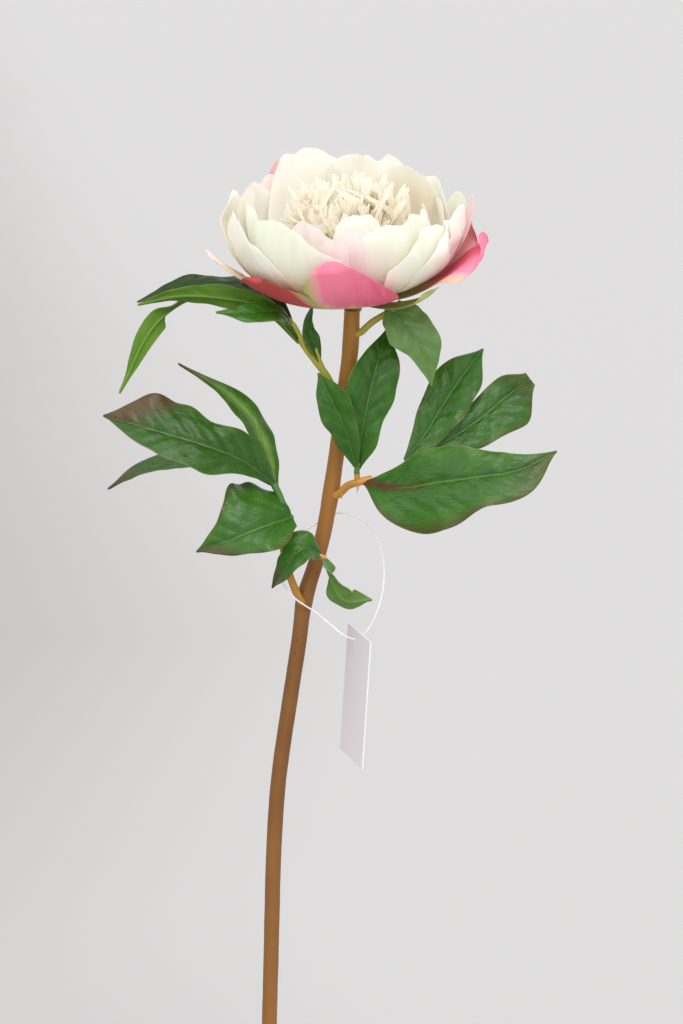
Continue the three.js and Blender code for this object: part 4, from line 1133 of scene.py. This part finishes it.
# %% Lower left leaf
LOWER_LEFT = [
    stalk(1.8, [(21.2, -3.5, 391), (17, -5.5, 401), (14, -8, 413), (12, -10, 426), (13, -11.5, 438),
          (9, -11, 448)], sheath=0.74),
    stalk(1.4, [(14.2, -8, 412), (20, -11, 415), (26, -12, 415), (33, -12.2, 413)]),
    stalk(1.3, [(12.4, -10.5, 429), (15, -13, 431), (17.5, -14.5, 433)], sheath=0.2),
], [
    leaflet([(9.5, -11.5, 447.5), (-6, -18, 460), (-21, -22, 467), (-37, -22, 472), (-52, -20, 476),
             (-68, -15, 480)],
            [(0.3, -0.8, 0.55), (0.1, -0.8, 0.6)], [1, 8, 13.5, 12.5, 8, 0.4], [1, 13, 13, 19, 16.5, 0.4],
            tip=1, slope=0.25, dark=0.4),
    leaflet([(10.5, -10, 446), (6, 0, 460), (-2, 6, 475), (-15, 10, 487), (-35, 14, 499)],
            [(0.75, -0.6, 0.3), (0.55, -0.8, 0.3)], [1, 5, 7.5, 6, 2.4, 0.4], [1, 5, 7.5, 6.5, 2.4, 0.4],
            tip=0.7, light=0.5, margin=0.3),
    leaflet([(9, -9.5, 446.5), (-7, 6, 452), (-23, 16, 452), (-49, 24, 449), (-69, 24, 438)],
            [(0, -0.35, 0.95), (0, -0.5, 0.85)], [1, 4, 6, 6.5, 4.5, 0.4], [1, 4, 6, 6.5, 4.5, 0.4],
            tip=1, dark=0.45, pale=0.15),
    leaflet([(17.5, -14, 432.5), (4, -24, 430), (-10, -28, 425), (-26, -25, 419)],
            [(-0.1, -0.9, 0.4), (-0.1, -0.9, 0.4)], [5, 12, 12.5, 9, 5, 0.4], [13, 24, 25, 18, 8, 0.4],
            tip=0.8, slope=-0.25, margin=0.6),
    leaflet([(31, -12, 414), (23, -18, 419), (16, -20, 412), (8, -16, 400)],
            [(-0.1, -0.75, 0.65), (-0.6, -0.75, 0.3)], [1, 6, 7.5, 5.5, 5, 0.4], [1, 7, 9.5, 7, 5, 0.4],
            tip=1, margin=0.3),
    leaflet([(32, -12.4, 413.5), (35, -15, 405), (41, -14, 394), (54, -10, 393)],
            [(0.7, -0.5, 0.2), (0.1, 1.2, 0.5)], [1, 6, 7, 8.5, 6.5, 0.4], [1, 6, 7, 8.5, 6.5, 0.4],
            pale=0.6),
]
LEAVES = {
    "leaf_upper_left": UPPER_LEFT,
    "leaf_bract": BRACT,
    "leaf_middle_right": MIDDLE_RIGHT,
    "leaf_lower_left": LOWER_LEFT,
}
print("leaflets:", sum(len(leaflets) for stalks, leaflets in LEAVES.values()))

# %% A leaflet's outline and relief
LEAF_FORM = {
    "width": 0.97, "ripple": 0.045, "fold": 0.22, "droop": 0.012, "wave": 0.11, "waves": 9, "shift": 2,
    "frill": 0.06, "crinkle": 0.3, "quilt": 0.06, "widest_quilt": 10, "groove": 0.35, "groove_width": 0.9,
}
MIDRIB = {"bead": 0.9, "width": 0.8}
LEAF_HALF = 0.26
LEAF_ROWS = 84
LEAF_COLUMNS = 27
SIDE_VEIN = {"gap": 8.5, "slant": 1.15}


def station(values, places):
    """Smooth line through evenly spaced values, read at places from 0 to 1."""
    values = np.array(values, float)
    last = len(values) - 1
    place = np.minimum(np.asarray(places, float) * last, last - 1e-9)
    i = place.astype(int)
    f = place - i
    v0, v1 = values[i], values[i + 1]
    m0 = (v1 - values[np.maximum(i - 1, 0)]) / 2
    m1 = (values[np.minimum(i + 2, last)] - v0) / 2
    rise = v1 - v0
    return v0 + f * (m0 + f * (3 * rise - 2 * m0 - m1 + f * (m0 + m1 - 2 * rise)))


def leaf_relief(s, v, across, half, length, order, wavy):
    """Fold, waves, quilting and midrib groove of a leaflet, in millimetres off its middle."""
    form = LEAF_FORM
    left = v < 0
    away = np.abs(across)
    fold = form["fold"] * away - form["droop"] * across ** 2
    swing = np.sin(form["waves"] * s + order + form["shift"] * left)
    wave = form["wave"] * wavy * half * v ** 2 * swing
    frill = form["frill"] * half * np.abs(v) ** 3 * np.sin(27 * s + 5 * order + 1.7 * left)
    bend = 1.3 * np.sin(0.21 * length + order)
    crumple = np.sin(0.5 * across + bend + 2 * left) * np.sin(0.34 * length + 2 * order + 0.2 * across)
    crinkle = form["crinkle"] * crumple * np.minimum(away / 3, 1)
    pillow = np.abs(np.sin(math.pi * ((length - SIDE_VEIN["slant"] * away) / SIDE_VEIN["gap"] + 0.5 * left)))
    quilt = form["quilt"] * np.minimum(half, form["widest_quilt"]) * pillow * (1 - v ** 2)
    quilt *= np.minimum(away, 1)
    groove = -form["groove"] * np.exp(-((across / form["groove_width"]) ** 2))
    return fold + wave + frill + quilt + groove + crinkle


def leaflet_sheet(row, order, seed):
    """The grid of one leaflet, with its veins pressed in, its flat map and its stored values."""
    places = np.linspace(0, 1, LEAF_ROWS)
    s, v = np.meshgrid(places, np.linspace(-1, 1, LEAF_COLUMNS), indexing="ij")
    middle = smooth_line(row["rib"], places)
    steps = np.linalg.norm(np.diff(middle, axis=0), axis=1)
    length = np.concatenate([[0], np.cumsum(steps)])[:, None]
    ahead = np.gradient(middle, axis=0)
    ahead /= np.linalg.norm(ahead, axis=1, keepdims=True)
    first, last = (np.array(way, float) for way in row["face"])
    side = np.cross(ahead, first + (last - first) * places[:, None])
    side /= np.linalg.norm(side, axis=1, keepdims=True)
    normal = np.cross(side, ahead)
    left = v < 0
    ripple = LEAF_FORM["ripple"] * np.sin(math.pi * s) * np.sin(17 * s + 2 * order + 2.4 * left)
    half = np.where(left, station(row["left"], s), station(row["right"], s)) * (1 + ripple)
    across = v * half
    lift = leaf_relief(s, v, across, half, length, order, row["wavy"])
    sideways = side[:, None] * (across * LEAF_FORM["width"])[..., None]
    values = {key: row[key] for key in ("tip", "slope", "rust", "pale", "light", "dark")}
    return {
        "grid": middle[:, None] + sideways + normal[:, None] * lift[..., None],
        "half": LEAF_HALF * (1 + MIDRIB["bead"] * np.exp(-((across / MIDRIB["width"]) ** 2))),
        "flat": np.stack([across, np.broadcast_to(length, across.shape)], -1),
        "values": {
            **values, "rise": s, "across": v, "tone": (seed + order * 0.618) % 1,
            "margin": row["margin"] * np.where(left, row["upper_share"], 1),
        },
    }


print("points on one side of a leaflet:", LEAF_ROWS * LEAF_COLUMNS)

# %% [markdown]
# Some leaflets are painted darker, which is painted shade, and one has a painted sheen, a paler stripe along
# its midrib.
# Leaf cloth is dyed green and coated with a thin satin plastic. The upper face is a deep green
# with a soft, patchy gloss, and the coating wrinkles finely where the mould pressed it. Side veins
# are a little paler. The underside has no coating: it is matt and a much lighter yellow-green.
# Some leaflets are airbrushed brown at the tip, along the margin or down the foot of the midrib.
# The wrinkles are really a few tenths of a millimetre wide, and are drawn wider so that they show.

# %% Veins and stains of the leaf
WRINKLE = 1.3
WRINKLE_LENGTH = WRINKLE / 0.3


def leaf_veins(tree, across, along, outer, cloud):
    """How much of a vein is here, from 0 to 1. The flat map's places are in millimetres."""
    flat = add(tree, "flat")
    wander = add(tree, "noise", {"Vector": flat, "Scale": FLAT_UNIT / 11.11, "Detail": 1})
    swung = add(tree, "times plus", wander, 2.2, along)
    away = add(tree, "size of", across)
    slanted = add(tree, "times plus", away, -SIDE_VEIN["slant"], swung)
    counted = add(tree, "over", slanted, SIDE_VEIN["gap"])
    left = add(tree, "below", across, 0)
    phase = add(tree, "times plus", left, 0.5, counted)
    side_line = add(tree, "range", add(tree, "to and fro", phase, 0.5), 0, 0.04, 1, 0)
    fading = add(tree, "times plus", outer, -0.7, 0.8)
    faded = add(tree, "times", side_line, fading)
    some = add(tree, "range", cloud, 0.42, 0.62, 0.15, 1)
    side_veins = add(tree, "times", faded, some)
    return add(tree, "greater", side_veins, add(tree, "range", away, 0.2, 0.6, 1, 0))


def leaf_stains(tree, on, across, outer, cloud):
    """The airbrushed places: brown at the tip and margin, and red-brown at the midrib's foot."""
    sloped = add(tree, "times plus", on["across"], on["slope"], on["rise"])
    ragged_end = add(tree, "times plus", cloud, 0.3, sloped)
    ragged_edge = add(tree, "times plus", cloud, 0.35, outer)
    end = add(tree, "soft range", ragged_end, 0.86, 1.12)
    edge = add(tree, "soft range", ragged_edge, 0.88, 1.22)
    tipped = add(tree, "times", end, on["tip"])
    rimmed = add(tree, "times", edge, on["margin"])
    foot = add(tree, "range", on["rise"], 0.12, 0.38, 1, 0)
    near = add(tree, "range", add(tree, "size of", across), 0.6, 3.2, 1, 0)
    at_foot = add(tree, "times", foot, near)
    brown = add(tree, "greater", tipped, rimmed)
    return brown, add(tree, "times", at_foot, on["rust"])


print("wrinkles, mm wide and long:", (WRINKLE, round(WRINKLE_LENGTH, 1)))

# %% Leaf cloth
def leaf_cloth(name, deep, fresh, vein_colour, roughness, gloss_level):
    """Leaf cloth from its deep and fresh green, its veins' colour and its gloss."""
    made, tree = start_material(name)
    on = stored_values(tree, "rise across tone tip slope margin rust pale light dark")
    flat = add(tree, "flat")
    across, along = (
        add(tree, "times", add(tree, "axes", flat, out=axis), FLAT_UNIT) for axis in "XY"
    )
    outer = add(tree, "size of", on["across"])
    cloud = add(tree, "noise", {"Vector": flat, "Scale": FLAT_UNIT / 14.29, "Detail": 4, "Roughness": 0.6})
    wrinkle = grain(tree, WRINKLE, WRINKLE_LENGTH, 3, turn=0.7)
    veins = leaf_veins(tree, across, along, outer, cloud)
    brown, rust = leaf_stains(tree, on, across, outer, cloud)
    clouded = add(tree, "times plus", outer, 0.3, cloud)
    inner = add(tree, "times", outer, -0.6)
    striped = add(tree, "times plus", cloud, 0.5, inner)
    stripe = add(tree, "range", striped, -0.1, 0.2)
    colour = deep
    for share, dye in (
        (add(tree, "range", clouded, 0.4, 0.95), fresh),
        (add(tree, "times", on["tone"], 0.15), fresh),
        # Painted sheen: the light value lays a paler green stripe along the midrib, where gloss would show
        (add(tree, "times", on["light"], stripe), "#86a84c"),
        # Painted shade: a dark leaflet is mixed towards a near-black green
        (on["dark"], "#0f2a06"),
        (add(tree, "times", wrinkle, 0.1), vein_colour),
        (add(tree, "times", veins, 0.3), vein_colour),
        (on["pale"], "#67874c"),
        (add(tree, "range", outer, 0.955, 0.985, 0, 0.3), "#8d8a4e"),
        (brown, "#4b3a22"),
        (rust, "#512c20"),
    ):
        colour = add(tree, "mix", share, colour, dye)
    raised = add(tree, "times", veins, 0.6)
    pressed = add(tree, "times plus", wrinkle, 0.55, raised)
    press = add(tree, "bump", {"Height": pressed, "Distance": 0.8 * MM, "Strength": 0.7})
    patchy = add(tree, "range", cloud, 0.35, 0.65, roughness - 0.05, roughness + 0.15)
    add(tree, "surface", add(tree, "shader", {
        "Base Color": colour, "Normal": press, "Roughness": patchy, "Specular IOR Level": gloss_level}))
    print(name + ":", len(tree.nodes), "nodes")
    return made


leaf_top = leaf_cloth("coated leaf cloth", "#123f06", "#336516", "#7ba34c", 0.2, 0.24)
leaf_under = leaf_cloth("bare leaf cloth underside", "#466d1a", "#5b8228", "#8cab56", 0.6, 0.12)

# %% [markdown]
# Each leaf is two pieces: its leaflets as one mesh with a coated and a bare side, and its stalks,
# which the stem's tree sweeps. A leaf's first stalk grows out of the stem, so its path starts
# inside the stem and it is a little thicker there.

# %% Leaves
STALK_STEPS = 14
STALK_FOOT = {"depth": 0.7, "drop": 1, "swell": 0.12, "length": 0.25}
STALK_TAPER = 0.12
SHEATH_EDGE = 0.05
NIB = {"radius": 0.9, "tip": 0.12, "tone": 0.2, "steps": 8}
STALK_SIZES = {"Sides": 20, "Lump height": 0.3 * MM, "Lump size": 5 * MM, "Skin": stalk_skin}


def stalk_path(row, first):
    """A stalk's path and girth; the first one of a leaf grows out of the stem."""
    line = list(row["line"])
    foot = STALK_FOOT["swell"] if first else 0
    if first:
        height = line[0][2]
        axis = [float(np.interp(height, heights, stem_line[:, i])) for i in (0, 1)] + [height]
        root = Vector(line[0]).lerp(Vector(axis), STALK_FOOT["depth"])
        line.insert(0, (root.x, root.y, root.z - STALK_FOOT["drop"]))
    s = np.linspace(0, 1, STALK_STEPS * len(line))
    swell = 1 + foot * np.exp(-((s / STALK_FOOT["length"]) ** 2)) - STALK_TAPER * s
    sheath = np.clip((s - row["sheath"]) / SHEATH_EDGE, 0, 1)
    girth = row["radius"] * swell
    return {"points": smooth_line(line, s), "girth": girth, "tone": row["tone"], "sheath": sheath}


def nib_path(line):
    """A short torn end, which tapers to a point."""
    s = np.linspace(0, 1, NIB["steps"])
    girth = NIB["radius"] + (NIB["tip"] - NIB["radius"]) * s
    return {"points": smooth_line(line, s), "girth": girth, "tone": NIB["tone"], "sheath": 0}


for number, (node, (stalks, leaflets)) in enumerate(LEAVES.items()):
    sheets = [leaflet_sheet(row, i, number) for i, row in enumerate(leaflets)]
    dress(sheet_mesh(node + "_leaflets", sheets), [leaf_top, leaf_under], node)
    paths = [stalk_path(row, i == 0) for i, row in enumerate(stalks)]
    paths += [nib_path(line) for line in STALK_NIBS.get(node, [])]
    swept = run_tree(node + "_stalks", stalk_paths(node + "_paths", paths), stalk_tree, STALK_SIZES)
    dress(swept, [stalk_skin], node)

# %% [markdown]
# The vase is thrown on a wheel, so it is a profile turned about its axis: a round belly, a long
# neck that holds one stem, and a lip that turns out. It is finished in a plain off-white glaze,
# which lies thick and glossy and leaves a bare clay foot ring where it was wiped off.

# %% Vase shape
VASE_OUTSIDE = [(30, 0), (35.5, 18), (38, 48), (33, 82), (20, 116), (14, 140), (13.6, 158), (17, 175)]
VASE_INSIDE = [
    (13.4, 174.2), (9.7, 163), (9.9, 146), (15.6, 120), (28.5, 85), (33.8, 50), (31.8, 22), (26, 6),
]
VASE_FLOOR = (0, 6)
VASE_FOOT = [(0, 1.2), (25, 1.2), (26, 0.1), (29.2, 0)]
VASE_STEPS = {"around": 128, "outside": 90, "inside": 70, "lip": 10}
VASE_EDGE = math.radians(50)
LIP_RISE = 1.1


def profile_line(profile, count):
    """A profile drawn smoothly through its points."""
    places = np.linspace(0, 1, count)
    radii, heights = (station([p[i] for p in profile], places) for i in (0, 1))
    return list(zip(radii.tolist(), heights.tolist()))


outer, inner = Vector(VASE_OUTSIDE[-1]), Vector(VASE_INSIDE[0])
lip = []
for i in range(1, VASE_STEPS["lip"]):
    turn = math.pi * i / VASE_STEPS["lip"]
    on = outer.lerp(inner, (1 - math.cos(turn)) / 2)
    lip.append((on.x, on.y + LIP_RISE * math.sin(turn)))
outside = profile_line(VASE_OUTSIDE, VASE_STEPS["outside"])[1:]
inside = profile_line(VASE_INSIDE, VASE_STEPS["inside"])
profile = VASE_FOOT + outside + lip + inside + [VASE_FLOOR]
vase_mesh = turned("vase_glazed", profile, VASE_STEPS["around"])
print("vase profile:", len(profile), "points")

# %% Vase glaze
GLAZE_EDGE = (1.6, 2.0)

glaze, tree = start_material("glazed stoneware")
place = add(tree, "place")
wavy = add(tree, "noise", {"Vector": place, "Scale": marks(18.18), "Detail": 1})
edge = add(tree, "times plus", wavy, -1.6 * MM, add(tree, "axes", place, out="Z"))
bare = add(tree, "range", edge, GLAZE_EDGE[0] * MM, GLAZE_EDGE[1] * MM, 1, 0)
pool = add(tree, "noise", {"Vector": place, "Scale": marks(45.45), "Detail": 3})
fleck = add(tree, "ShaderNodeTexVoronoi", {"Vector": place, "Scale": marks(3.846)}, feature="F1")
clay = add(tree, "noise", {"Vector": place, "Scale": marks(1.111), "Detail": 3})
foot_clay = add(tree, "mix", clay, "#c9b595", "#ab9270")
colour = "#ece8df"
for share, layer in (
    (add(tree, "times", pool, 0.5), "#dcd6c8"),
    (add(tree, "range", fleck, 0.09, 0.14, 0.35, 0), "#b9ab93"),
    (bare, foot_clay),
):
    colour = add(tree, "mix", share, colour, layer)
gloss = add(tree, "range", {"Value": bare, 3: 0.16, 4: 0.85})
pooled = add(tree, "times", pool, 0.8)
skin = add(tree, "times plus", clay, bare, pooled)
orange_peel = add(tree, "bump", {"Height": skin, "Distance": 0.4 * MM, "Strength": 0.5})
add(tree, "surface", add(tree, "shader", {"Base Color": colour, "Normal": orange_peel, "Roughness": gloss}))
dress(vase_mesh, [glaze], "vase")
vase_mesh.set_sharp_from_angle(angle=VASE_EDGE)

# %% [markdown]
# The water, the card tag and the clear line finish the piece. The first two keep the shapes that
# they have in the frame, and only get their materials here. Water is clear with the faintest
# ripple. The card is a cool white and a little fibrous, bare on both sides. The line is drawn
# nylon, so it is smooth and takes a hard bright glint.

# %% Water
water_look, tree = start_material("water")
place = add(tree, "place")
ripple = add(tree, "noise", {"Vector": place, "Scale": marks(16.67), "Detail": 1})
swell = add(tree, "bump", {"Height": ripple, "Distance": 0.4 * MM, "Strength": 0.3})
tint = add(tree, "mix", ripple, "#f2f8f8", "#e9f3f2")
add(tree, "surface", add(tree, "shader", {
    "Base Color": tint, "Normal": swell, "Roughness": 0.02, "IOR": 1.333, "Transmission Weight": 1}))
print(water_look.name + ":", len(tree.nodes), "nodes")

# %% Card
card, tree = start_material("coated card")
place = add(tree, "place")
fibre = add(tree, "noise", {"Vector": place, "Scale": marks(1.4286), "Detail": 3})
mottle = add(tree, "noise", {"Vector": place, "Scale": marks(16.67), "Detail": 2})
colour = "#dfd8db"
for look, layer in ((fibre, "#d0c8cc"), (mottle, "#d7cfd4")):
    share = add(tree, "times", look, 0.3)
    colour = add(tree, "mix", share, colour, layer)
tooth = add(tree, "bump", {"Height": fibre, "Distance": 0.05 * MM, "Strength": 0.5})
add(tree, "surface", add(tree, "shader", {"Base Color": colour, "Normal": tooth, "Roughness": 0.5}))
print(card.name + ":", len(tree.nodes), "nodes")

for node, look in (("water", water_look), ("tag", card)):
    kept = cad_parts[node].data
    kept.materials.clear()
    kept.materials.append(look)

# %% Nylon
nylon, tree = start_material("nylon monofilament")
drawn = add(tree, "noise", {"Vector": add(tree, "place"), "Scale": marks(3.333), "Detail": 1})
clear = add(tree, "mix", drawn, "#ffffff", "#eceaf0")
add(tree, "surface", add(tree, "shader", {
    "Base Color": clear, "Roughness": 0.18, "IOR": 1.53, "Transmission Weight": 0.12}))
print(nylon.name + ":", len(tree.nodes), "nodes")

# %% [markdown]
# The line ends in a small knot behind the tag's hole. A trefoil, the simplest closed knot, looks
# like one when it is made this small.

# %% Knot, and the line's material
KNOT = {"scale": 0.3, "radius": 0.34, "steps": 90}
turns = np.linspace(0, 2 * math.pi, KNOT["steps"] + 1)[:-1]
trefoil = np.stack([
    np.sin(turns) + 2 * np.sin(2 * turns),
    -np.sin(3 * turns),
    np.cos(turns) - 2 * np.cos(2 * turns),
], -1) * KNOT["scale"] + np.array(LOOP_LINE[0])
tag_knot = nylon_line("tag_knot", trefoil, KNOT["radius"], closed=True)
for piece in (tag_line, tag_knot):
    piece.data.materials.append(nylon)
    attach(piece, BODY)
    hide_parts("tag_loop")
